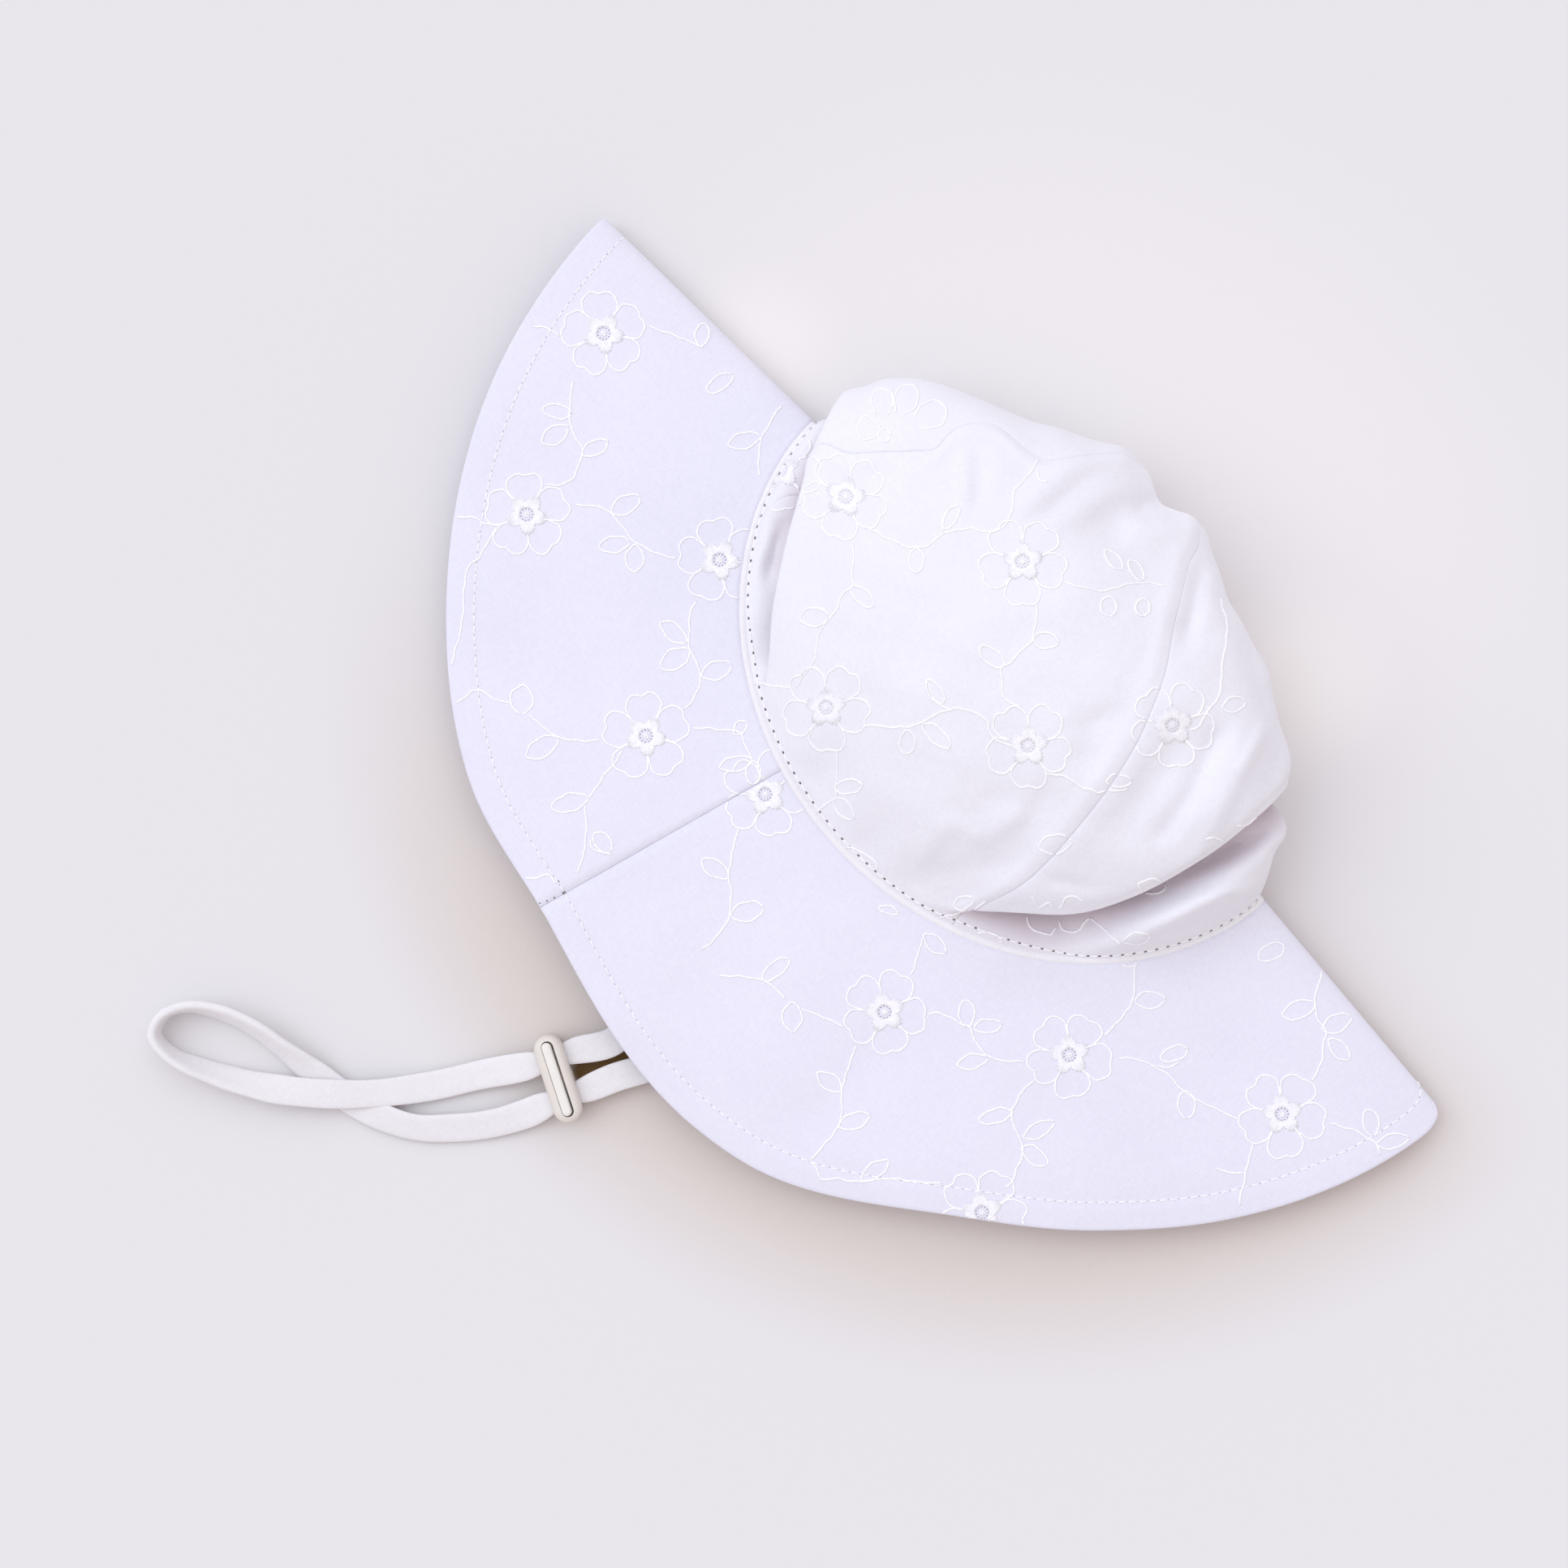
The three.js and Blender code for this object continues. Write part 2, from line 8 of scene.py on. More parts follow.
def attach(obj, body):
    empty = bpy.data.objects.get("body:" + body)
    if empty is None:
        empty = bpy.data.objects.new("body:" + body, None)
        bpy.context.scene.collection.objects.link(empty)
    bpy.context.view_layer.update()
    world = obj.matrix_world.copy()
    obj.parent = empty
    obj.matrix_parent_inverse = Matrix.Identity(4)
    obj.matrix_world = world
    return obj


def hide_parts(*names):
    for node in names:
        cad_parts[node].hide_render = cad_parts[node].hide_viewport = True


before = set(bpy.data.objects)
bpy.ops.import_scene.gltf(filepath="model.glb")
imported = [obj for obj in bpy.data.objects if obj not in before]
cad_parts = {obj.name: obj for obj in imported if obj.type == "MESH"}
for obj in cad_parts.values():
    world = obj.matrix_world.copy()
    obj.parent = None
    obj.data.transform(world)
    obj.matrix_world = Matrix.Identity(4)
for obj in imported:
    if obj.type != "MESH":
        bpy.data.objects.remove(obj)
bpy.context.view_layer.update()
print("frame loaded:", len(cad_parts), "solids")

mm = 0.001  # shapes are worked out in millimetres and become metres in makePiece


# Small tools for curves and tables

def lerp(a, b, t):
    return a + (b - a) * t


def ease(value, start, end):
    t = np.clip((value - start) / (end - start), 0, 1)
    return t * t * (3 - 2 * t)


def bell(value):
    return np.exp(-value * value)


def unit(vectors):
    size = np.linalg.norm(vectors, axis=-1, keepdims=True)
    return vectors / np.maximum(size, 1e-9)


# a curve from one value to the next, with the slopes that it leaves and arrives with
def cubicStep(first, rise, start, end, u):
    return first + u * (start + u * (3 * rise - 2 * start - end + u * (start + end - 2 * rise)))


# one column of a table between its rows, on a curve that never overshoots them
def readTable(table, key, at, column):
    x, y = np.array(table[key], float), np.array(table[column], float)
    at = np.clip(np.asarray(at, float), x[0], x[-1])
    slope = np.diff(y) / np.diff(x)
    before, after = slope[:-1], slope[1:]
    rising = before * after > 0
    total = np.where(rising, before + after, 1)
    tangent = np.concatenate([slope[:1], np.where(rising, 2 * before * after / total, 0), slope[-1:]])
    i = np.clip(np.searchsorted(x, at, side="right") - 1, 0, len(x) - 2)
    span = x[i + 1] - x[i]
    u = (at - x[i]) / span
    rise = y[i + 1] - y[i]
    return cubicStep(y[i], rise, tangent[i] * span, tangent[i + 1] * span, u)


# a soft curve through points, the centripetal kind
def throughPoints(points, perSpan=12):
    p = np.asarray(points, float)
    p = np.vstack([2 * p[0] - p[1], p, 2 * p[-1] - p[-2]])
    gap = np.maximum(np.linalg.norm(np.diff(p, axis=0), axis=1), 1e-6) ** 0.5
    u = (np.arange(perSpan) / perSpan)[:, None]
    parts = []
    for k in range(1, len(p) - 2):
        a, b, c = gap[k - 1], gap[k], gap[k + 1]
        start = ((p[k] - p[k - 1]) / a - (p[k + 1] - p[k - 1]) / (a + b) + (p[k + 1] - p[k]) / b) * b
        end = ((p[k + 1] - p[k]) / b - (p[k + 2] - p[k]) / (b + c) + (p[k + 2] - p[k + 1]) / c) * b
        rise = p[k + 1] - p[k]
        parts.append(cubicStep(p[k], rise, start, end, u))
    return np.vstack([*parts, p[-2]])


def runLength(line):
    return np.concatenate([[0], np.cumsum(np.linalg.norm(np.diff(line, axis=0), axis=1))])


# a line's columns, read at places along its run
def readRun(at, run, line):
    return np.stack([np.interp(at, run, line[:, k]) for k in range(line.shape[1])], -1)


def evenSteps(line, step):
    run = runLength(line)
    at = np.linspace(0, run[-1], max(int(round(run[-1] / step)), 2) + 1)
    return readRun(at, run, line)


# even angles once round
def fullTurn(count):
    return np.arange(count) / count * 2 * np.pi


# Meshes

def makePiece(name, points, faces, finish, slot, ride=True, sharp=None, shade=None):
    mesh = bpy.data.meshes.new(name)
    corners = np.concatenate([np.asarray(f, np.int32).ravel() for f in faces])
    sizes = np.concatenate([np.full(len(f), np.shape(f)[1], np.int32) for f in faces])
    mesh.vertices.add(len(points))
    mesh.vertices.foreach_set("co", (np.asarray(points) * mm).astype(np.float32).ravel())
    mesh.loops.add(len(corners))
    mesh.loops.foreach_set("vertex_index", corners)
    mesh.polygons.add(len(sizes))
    mesh.polygons.foreach_set("loop_start", (np.cumsum(sizes) - sizes).astype(np.int32))
    mesh.update(calc_edges=True)
    mesh.validate()
    mesh.polygons.foreach_set("use_smooth", np.ones(len(mesh.polygons), bool))
    if sharp:
        mesh.set_sharp_from_angle(angle=math.radians(sharp))
    if shade is not None:
        mesh.attributes.new("shade", "FLOAT", "POINT").data.foreach_set("value", shade.astype(np.float32))
    mesh.materials.append(finish)
    piece = bpy.data.objects.new(name, mesh)
    bpy.context.scene.collection.objects.link(piece)
    if ride:
        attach(piece, "root")
    return piece


# faces between rings of points that follow one another
def tubeQuads(rings, sides, base=0):
    here = np.arange(sides)
    after = (here + 1) % sides
    row = base + np.arange(rings - 1)[:, None] * sides
    return np.stack([row + here, row + after, row + sides + after, row + sides + here], -1).reshape(-1, 4)


# a tube of rings with flat ends
def cappedTube(rings):
    count, sides = len(rings), len(rings[0])
    ends = np.array([np.arange(sides)[::-1], (count - 1) * sides + np.arange(sides)])
    return np.reshape(rings, (-1, 3)), [tubeQuads(count, sides), ends]


# closed tubes along lines; each strand has points, normals that it lies against, and a radius at each point
def strandMesh(strands, sides, flatness=1.0):
    angle = fullTurn(sides)
    allPoints, quads, tris, base = [], [], [], 0
    for line, normal, radius in strands:
        n = len(line)
        tangent = unit(np.gradient(line, axis=0))
        side = unit(np.cross(normal, tangent))
        upward = np.cross(tangent, side)
        radius = np.broadcast_to(radius, n)[:, None, None]
        ring = side[:, None] * np.cos(angle)[:, None] + upward[:, None] * flatness * np.sin(angle)[:, None]
        allPoints.append((line[:, None] + ring * radius).reshape(-1, 3))
        quads.append(tubeQuads(n, sides, base))
        fan = np.arange(1, sides - 1)
        last = base + (n - 1) * sides
        tris.append(np.stack([np.full_like(fan, base), base + fan + 1, base + fan], -1))
        tris.append(np.stack([np.full_like(fan, last), last + fan, last + fan + 1], -1))
        base += n * sides
    return np.vstack(allPoints), [np.vstack(quads), np.vstack(tris)]


# Finishes: a wire is a socket with Python's operators, and a finish makes its nodes

class Wire:
    def __init__(self, finish, socket):
        self.finish, self.socket = finish, socket

    def maths(self, operation, first, second):
        return self.finish.node("ShaderNodeMath", {"operation": operation}, {0: first, 1: second})

    def __add__(self, other):
        return self.maths("ADD", self, other)

    def __radd__(self, other):
        return self.maths("ADD", other, self)

    def __sub__(self, other):
        return self.maths("SUBTRACT", self, other)

    def __rsub__(self, other):
        return self.maths("SUBTRACT", other, self)

    def __mul__(self, other):
        return self.maths("MULTIPLY", self, other)

    def __rmul__(self, other):
        return self.maths("MULTIPLY", other, self)


class Finish:
    def __init__(self, name):
        self.material = bpy.data.materials.new(name)
        self.material.use_nodes = True
        self.tree = self.material.node_tree
        self.tree.nodes.clear()

    def node(self, kind, settings=None, sockets=None, output=0):
        made = self.tree.nodes.new(kind)
        for key, value in (settings or {}).items():
            setattr(made, key, value)
        for key, value in (sockets or {}).items():
            if isinstance(value, Wire):
                self.tree.links.new(value.socket, made.inputs[key])
            else:
                made.inputs[key].default_value = value
        return Wire(self, made.outputs[output]) if made.outputs else None

    def blend(self, amount, first, second):
        return self.node("ShaderNodeMix", {"data_type": "RGBA"}, {0: amount, 6: first, 7: second}, 2)

    # 0 at the start, 1 at the end
    def between(self, value, start, end, curve="LINEAR"):
        return self.node("ShaderNodeMapRange", {"interpolation_type": curve}, {0: value, 1: start, 2: end})

    def bump(self, relief, strength, depth):
        sockets = {"Strength": strength, "Distance": depth * mm, "Height": relief}
        return self.node("ShaderNodeBump", None, sockets)

    def vectors(self, operation, first, second=(0, 0, 0), output=0):
        return self.node("ShaderNodeVectorMath", {"operation": operation}, {0: first, 1: second}, output)

    # object coordinates in millimetres; a turned grain is also tipped a little out of the axes
    def place(self, stretch=(1, 1, 1), turn=None, tip=(0.35, 0.2)):
        spot = self.node("ShaderNodeTexCoord", output=3)
        if turn is not None:
            spot = self.node("ShaderNodeMapping", None, {"Vector": spot, "Rotation": (*tip, turn)})
        return self.vectors("MULTIPLY", spot, tuple(1000 * s for s in stretch))

    def noise(self, at, scale, detail=2.0, rough=0.5):
        sockets = {"Vector": at, "Scale": scale, "Detail": detail, "Roughness": rough}
        return self.node("ShaderNodeTexNoise", None, sockets)

    def close(self, sockets):
        shader = self.node("ShaderNodeBsdfPrincipled", None, sockets)
        self.node("ShaderNodeOutputMaterial", None, {"Surface": shader})
        return self.material


def rgb(red, green, blue):
    return (red, green, blue, 1)


# woven cotton: slubby warp and weft, a fine grain, and a faint unevenness of the white; under its folds the
# cloth's colour carries painted shade, darker and warmer
cotton = {
    "slubLong": 0.14, "slubDeep": 0.3, "slubDetail": 1.5,  # shares of the yarn's own width
    "grainScale": 2.6, "cloudScale": 0.035, "speckScale": 0.9, "rough": 0.6,
    "weaveRelief": 0.75, "grainRelief": 0.25,
    "cloudShade": 0.25, "weaveShade": 0.45, "speckShade": 0.3, "shadeRange": (0.38, 0.62),
    "roughness": 0.88, "grainRoughness": 0.1, "sheen": 0.12, "sheenRoughness": 0.5, "specular": 0.25,
}


def wovenCotton(name, pale, deep, yarn, height, turn, low=None):
    f, c = Finish(name), cotton
    fine, long, thick = 1 / yarn, c["slubLong"] / yarn, c["slubDeep"] / yarn
    warp = f.noise(f.place((fine, long, thick), turn), 1.0, c["slubDetail"])
    weft = f.noise(f.place((long, fine, thick), turn), 1.0, c["slubDetail"])
    grain = f.noise(f.place(), c["grainScale"], 2.0, c["rough"])
    cloud = f.noise(f.place(), c["cloudScale"])
    speck = f.noise(f.place(), c["speckScale"], 3.0, c["rough"])
    weave = warp * 0.5 + weft * 0.5
    relief = weave * c["weaveRelief"] + grain * c["grainRelief"]
    shade = cloud * c["cloudShade"] + weave * c["weaveShade"] + speck * c["speckShade"]
    colour = f.blend(f.between(shade, *c["shadeRange"]), deep, pale)
    # painted shade: the colour goes towards the dark fold tint where the shade attribute is high
    if low:
        colour = f.blend(f.node("ShaderNodeAttribute", {"attribute_name": "shade"}, None, 2), colour, low)
    return f.close({"Base Color": colour, "Roughness": c["roughness"] + c["grainRoughness"] * grain,
                    "Normal": f.bump(relief, 1.0, height), "Sheen Weight": c["sheen"],
                    "Sheen Roughness": c["sheenRoughness"], "Specular IOR Level": c["specular"]})


# spun embroidery cotton: a twist along the strand in fine steps, and a soft lustre
spun = {
    "twistTurn": 0.6, "twistScale": 3.4, "twistRough": 0.6, "twistBump": 0.8, "twistDepth": 0.06,
    "fuzzTurn": 1.9, "fuzzScale": 1.1, "fuzzRough": 0.7, "fuzzRange": (0.36, 0.6),
    "roughness": 0.5, "twistRoughness": 0.25, "sheen": 0.2, "specular": 0.35,
}


def spunThread(name, pale, deep):
    f, s = Finish(name), spun
    twist = f.noise(f.place(turn=s["twistTurn"]), s["twistScale"], 2.0, s["twistRough"])
    fuzz = f.noise(f.place(turn=s["fuzzTurn"]), s["fuzzScale"], 3.0, s["fuzzRough"])
    colour = f.blend(f.between(fuzz, *s["fuzzRange"]), deep, pale)
    return f.close({"Base Color": colour, "Roughness": s["roughness"] + s["twistRoughness"] * twist,
                    "Normal": f.bump(twist, s["twistBump"], s["twistDepth"]),
                    "Sheen Weight": s["sheen"], "Specular IOR Level": s["specular"]})


# moulded plastic: a faint mottle, and pits too small to count
plastic = {
    "mottleScale": 0.5, "pitScale": 6.0, "pitBump": 0.25, "pitDepth": 0.03,
    "roughness": 0.34, "mottleRoughness": 0.12, "specular": 0.5,
}


def mouldedPlastic(name, pale, deep):
    f, p = Finish(name), plastic
    mottle = f.noise(f.place(), p["mottleScale"], 3.0)
    pit = f.noise(f.place(), p["pitScale"])
    return f.close({"Base Color": f.blend(mottle, deep, pale),
                    "Roughness": p["roughness"] + p["mottleRoughness"] * mottle,
                    "Normal": f.bump(pit, p["pitBump"], p["pitDepth"]), "Specular IOR Level": p["specular"]})


# painted shade: the dark inside a needle hole
def needleShadow(name, pale, deep, scale=2.0):
    f = Finish(name)
    colour = f.blend(f.noise(f.place(), scale, 1.0), deep, pale)
    return f.close({"Base Color": colour, "Roughness": 1.0, "Specular IOR Level": 0.0})


# for cotton: pale, deep, width of the yarn, height of the weave, turn of the grain, and the painted shade
# under folds
finishes = {
    "crown": wovenCotton("crownCotton", rgb(0.85, 0.843, 0.885), rgb(0.8, 0.793, 0.835), 0.42, 0.12, 0.5,
                         rgb(0.57, 0.465, 0.505)),
    "brim": wovenCotton("brimCotton", rgb(0.797, 0.787, 0.87), rgb(0.747, 0.737, 0.825), 0.42, 0.12, 0.2),
    "welt": wovenCotton("weltCotton", rgb(0.87, 0.855, 0.87), rgb(0.82, 0.8, 0.82), 0.34, 0.08, 0.9),
    "strap": wovenCotton("strapCotton", rgb(0.82, 0.8, 0.812), rgb(0.77, 0.745, 0.752), 0.5, 0.12, 1.3),
    "thread": spunThread("embroideryThread", rgb(0.99, 0.985, 0.99), rgb(0.91, 0.9, 0.92)),
    "star": spunThread("starThread", rgb(0.95, 0.94, 0.955), rgb(0.87, 0.86, 0.885)),
    # needle holes and eyelets: painted shade inside the holes, paler at the hem and on the crown
    "hole": needleShadow("needleHole", rgb(0.32, 0.26, 0.26), rgb(0.18, 0.13, 0.13)),
    "hemHole": needleShadow("hemHole", rgb(0.7, 0.68, 0.74), rgb(0.6, 0.58, 0.64)),
    "brimEyelet": needleShadow("brimEyelet", rgb(0.5, 0.46, 0.48), rgb(0.32, 0.28, 0.3)),
    "crownEyelet": needleShadow("crownEyelet", rgb(0.76, 0.73, 0.76), rgb(0.64, 0.6, 0.63)),
    "shell": mouldedPlastic("sliderPlastic", rgb(0.76, 0.71, 0.65), rgb(0.7, 0.65, 0.58)),
    "bar": mouldedPlastic("barPlastic", rgb(0.84, 0.82, 0.77), rgb(0.79, 0.76, 0.7)),
}
print("finishes made:", len(finishes))


# The camera looks straight down, as in the photograph
view = {
    "middle": (-21.4, -67.5),
    "height": 800,
    "right": (0.68527, 0.72829),
    "lens": 72,
    "sensor": 36,
    "clip": (0.01, 20),
    "imageSide": 1932,
}
imageRight = np.array([*view["right"], 0.0])
imageDown = np.array([view["right"][1], -view["right"][0], 0.0])
eye = np.array([*view["middle"], view["height"]], float)

cameraData = bpy.data.cameras.new("camera")
cameraData.lens = view["lens"]
cameraData.sensor_width = view["sensor"]
cameraData.clip_start, cameraData.clip_end = view["clip"]
cameraPiece = bpy.data.objects.new("camera", cameraData)
axes = [(imageRight[k], -imageDown[k], float(k == 2), eye[k] * mm) for k in range(3)]
cameraPiece.matrix_world = Matrix([*axes, (0, 0, 0, 1)])
bpy.context.scene.collection.objects.link(cameraPiece)
bpy.context.scene.camera = cameraPiece
bpy.context.scene.view_settings.view_transform = "Standard"


# where a pixel of the photograph looks
def pixelRay(pixel):
    focal = view["lens"] / view["sensor"] * view["imageSide"]
    off = np.asarray(pixel, float) - view["imageSide"] / 2
    return off[..., :1] * imageRight + off[..., 1:2] * imageDown - np.array([0, 0, focal])


# the spots at one height that pixels of the photograph look at
def pixelSpots(pixels, height):
    ray = pixelRay(pixels)
    return (eye + ray * ((height - view["height"]) / ray[..., 2:]))[..., :2]


print("camera set")


# The slider: a moulded shell with a tunnel for both strands, and a bar in a slot on its top
slider = {
    "x": -6.3, "y": -160.3, "turn": -25.2,
    "length": 23, "width": 7.4, "height": 8, "bottomRound": 1.2, "topRound": 1.9,
    "tunnelLength": 18.6, "tunnelHeight": 2.5, "tunnelFloor": 2.3, "tunnelArc": 8,
    "barLength": 19.4, "barWidth": 2.5, "barBottom": 5.05, "barTop": 8.3,
    "barLowRound": 0.3, "barRound": 0.7, "barAside": -0.26,
    "play": 0.3, "arc": 20, "quarterSteps": 7, "sharp": 35,
    "cutRound": 0.01,  # edges of what is cut away
}

# The chin strap: a soft cotton tube, pressed flat, on the route of its solid
strap = {
    "width": 7.4,
    "thickness": 1.6,
    "fullness": 3.2,
    "sides": 24,
    "perSpan": 16,
    "step": 0.9,
    "slack": [(0.03, 9, 0), (0.02, 3.7, 1)],  # depth, length and start of the waves of its width
    "hollow": 0.16, "hollowWidth": 1.4,  # the two walls of the tube touch along its middle
    "x": [-24, -23.7, -20, -14, -8, -3.4, -8.6, -13.4, -19.8, -26.7, -35.1, -44.5, -55.3, -67.7, -78.3, -84.6,
          -86.6, -84, -77.8, -69.4, -60.4, -50.8, -41.5, -31, -22.2, -15.7, -9.8, -5.4, -3.4, 0.6, 3.6, 7.6,
          12.5, 18, 22, 23.7, 24],
    "y": [-57, -66, -82, -104, -126, -143, -153, -163.2, -173.5, -185.3, -196.8, -206.8, -216, -223.6, -228,
          -227.4, -222.4, -216.6, -211.8, -208.3, -206.5, -205.2, -203.7, -200.6, -195.8, -189.2, -181.5,
          -173, -167, -157.4, -149.6, -141.5, -127, -105, -82, -68, -56],
    "z": [14.4, 11.9, 7.6, 4.6, 3.3, 3.5, 3.6, 3.4, 1.6, 1.2, 2.6, 3.6, 3.4, 3.5, 3.9, 4, 4, 4, 3.8, 3.6, 3.1,
          1.9, 1.2, 1.6, 1.7, 1.7, 1.7, 2.3, 3.5, 3.6, 3.6, 3.4, 2.95, 2.95, 3, 3.9, 2.4],
    # the loop stands on its edge, and opens up where it does
    "roll": [0] * 11 + [6, 24, 50, 75, 84, 86, 78, 66, 60, 50, 22, 6, 12, 15, 15, 12, 6] + [0] * 9,
    "puff": [1] * 12 + [1.1, 1.3, 1.5, 1.6, 1.6, 1.6, 1.6, 1.5, 1.4, 1.1] + [1] * 15,
    "pinch": 0.34, "pinchReach": 4.6, "pinchPuff": 0.2,  # drawn together where the slider holds it
}


def makeStrap():
    route = np.stack([strap["x"], strap["y"], strap["z"]], -1).astype(float)
    fine = throughPoints(route, strap["perSpan"])
    spots = np.arange(len(fine)) / strap["perSpan"]
    table = {"at": np.arange(len(route)), "roll": strap["roll"], "puff": strap["puff"]}
    extra = [readTable(table, "at", spots, column) for column in ("roll", "puff")]
    line = evenSteps(np.column_stack([fine, *extra]), strap["step"])
    roll, puff, line = np.radians(line[:, 3]), line[:, 4], line[:, :3]
    tangent = unit(np.gradient(line, axis=0))
    flat = unit(np.cross([0, 0, 1], tangent))
    across = flat * np.cos(roll)[:, None] + np.cross(tangent, flat) * np.sin(roll)[:, None]
    upward = np.cross(tangent, across)
    along = np.arange(len(line)) * strap["step"]
    slack = 1
    for depth, length, start in strap["slack"]:
        slack = slack + depth * np.sin(along / length + start)
    turn = math.radians(slider["turn"])
    fromSlider = line[:, :2] - [slider["x"], slider["y"]]
    drawn = bell(fromSlider @ [-math.sin(turn), math.cos(turn)] / strap["pinchReach"])
    drawn = drawn * (np.hypot(*fromSlider.T) < slider["length"])
    slack, puff = slack * (1 - strap["pinch"] * drawn), puff * (1 + strap["pinchPuff"] * drawn)
    angle = fullTurn(strap["sides"])
    power = 2 / strap["fullness"]
    wide = np.sign(np.cos(angle)) * np.abs(np.cos(angle)) ** power * strap["width"] / 2
    thick = np.sign(np.sin(angle)) * np.abs(np.sin(angle)) ** power * strap["thickness"] / 2
    hollow = 1 - strap["hollow"] * bell(wide / strap["hollowWidth"])
    rings = line[:, None] + across[:, None] * (wide[:, None] * slack[:, None, None])
    rings = rings + upward[:, None] * ((thick * hollow)[:, None] * puff[:, None, None])
    piece = makePiece("chinStrap", *cappedTube(rings), finishes["strap"], "strap_cotton")
    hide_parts("chin_strap")
    return piece, line


chinStrap, strapLine = makeStrap()


def stadium(length, width, count):
    angle = np.linspace(-np.pi / 2, np.pi / 2, count)
    straight = (length - width) / 2
    half = np.stack([straight + width / 2 * np.cos(angle), width / 2 * np.sin(angle)], -1)
    return np.vstack([half, -half])


# a round-ended block whose lower and upper edges are rounded off
def stadiumBlock(length, width, bottom, top, lowRound, highRound, arc):
    rings = []
    quarter = np.linspace(0, np.pi / 2, slider["quarterSteps"])
    steps = [(lowRound * (1 - np.sin(a)), bottom + lowRound * (1 - np.cos(a))) for a in quarter]
    steps += [(highRound * (1 - np.cos(a)), top - highRound * (1 - np.sin(a))) for a in quarter]
    for inset, z in steps:
        outline = stadium(length - 2 * inset, width - 2 * inset, arc)
        rings.append(np.column_stack([outline, np.full(len(outline), z)]))
    return cappedTube(rings)


def ontoSlider(points):
    turn = math.radians(slider["turn"])
    x, y = points[:, 0], points[:, 1]
    return np.column_stack([slider["x"] + x * math.cos(turn) - y * math.sin(turn),
                            slider["y"] + x * math.sin(turn) + y * math.cos(turn), points[:, 2]])


def carve(piece, cutter):
    bite = piece.modifiers.new("bite", "BOOLEAN")
    bite.operation, bite.solver, bite.object = "DIFFERENCE", "EXACT", cutter
    carved = bpy.data.meshes.new_from_object(piece.evaluated_get(bpy.context.evaluated_depsgraph_get()))
    piece.modifiers.clear()
    piece.data = carved
    bpy.data.objects.remove(cutter)


def makeSlider():
    s = slider
    cut = s["cutRound"], s["cutRound"]
    rounds = s["bottomRound"], s["topRound"]
    points, faces = stadiumBlock(s["length"], s["width"], 0, s["height"], *rounds, s["arc"])
    shell = makePiece("sliderShell", ontoSlider(points), faces, finishes["shell"], "slider_plastic")
    ceiling = s["tunnelFloor"] + s["tunnelHeight"]
    points, faces = stadiumBlock(s["tunnelLength"], s["tunnelHeight"], -s["width"], s["width"], *cut,
                                 s["tunnelArc"])
    points = points[:, [0, 2, 1]] * [1, -1, 1] + [0, 0, (s["tunnelFloor"] + ceiling) / 2]
    carve(shell, makePiece("tunnelCutter", ontoSlider(points), faces, finishes["shell"], None, False))
    slotSize = s["barLength"] + 2 * s["play"], s["barWidth"] + 2 * s["play"]
    points, faces = stadiumBlock(*slotSize, ceiling - 1, 2 * s["height"], *cut, s["arc"])
    carve(shell, makePiece("slotCutter", ontoSlider(points), faces, finishes["shell"], None, False))
    shell.data.polygons.foreach_set("use_smooth", np.ones(len(shell.data.polygons), bool))
    shell.data.set_sharp_from_angle(angle=math.radians(s["sharp"]))
    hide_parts("slider_shell")
    rounds = s["barLowRound"], s["barRound"]
    points, faces = stadiumBlock(s["barLength"], s["barWidth"], s["barBottom"], s["barTop"], *rounds,
                                 s["arc"])
    points = points + [0, s["barAside"], 0]
    bar = makePiece("sliderBar", ontoSlider(points), faces, finishes["bar"], "slider_plastic",
                    sharp=s["sharp"])
    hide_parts("slider_bar")
    return shell, bar


sliderShell, sliderBar = makeSlider()
print("slider made")


# Cloth: a sheet of points becomes a wall with rounded edges, which just meet where they are sewn

# a face's normal, twice its area long, from its diagonals
def faceNormals(points, faces):
    return np.cross(points[faces[:, 2]] - points[faces[:, 0]], points[faces[:, -1]] - points[faces[:, 1]])


def sheetNormals(points, cells):
    normals = np.zeros_like(points)
    for faces in cells:
        normal = faceNormals(points, faces)
        for corner in faces.T:
            np.add.at(normals, corner, normal)
    return unit(normals)


def midArea(points, cells):
    return sum(np.linalg.norm(faceNormals(points, faces), axis=1).sum() / 2 for faces in cells)


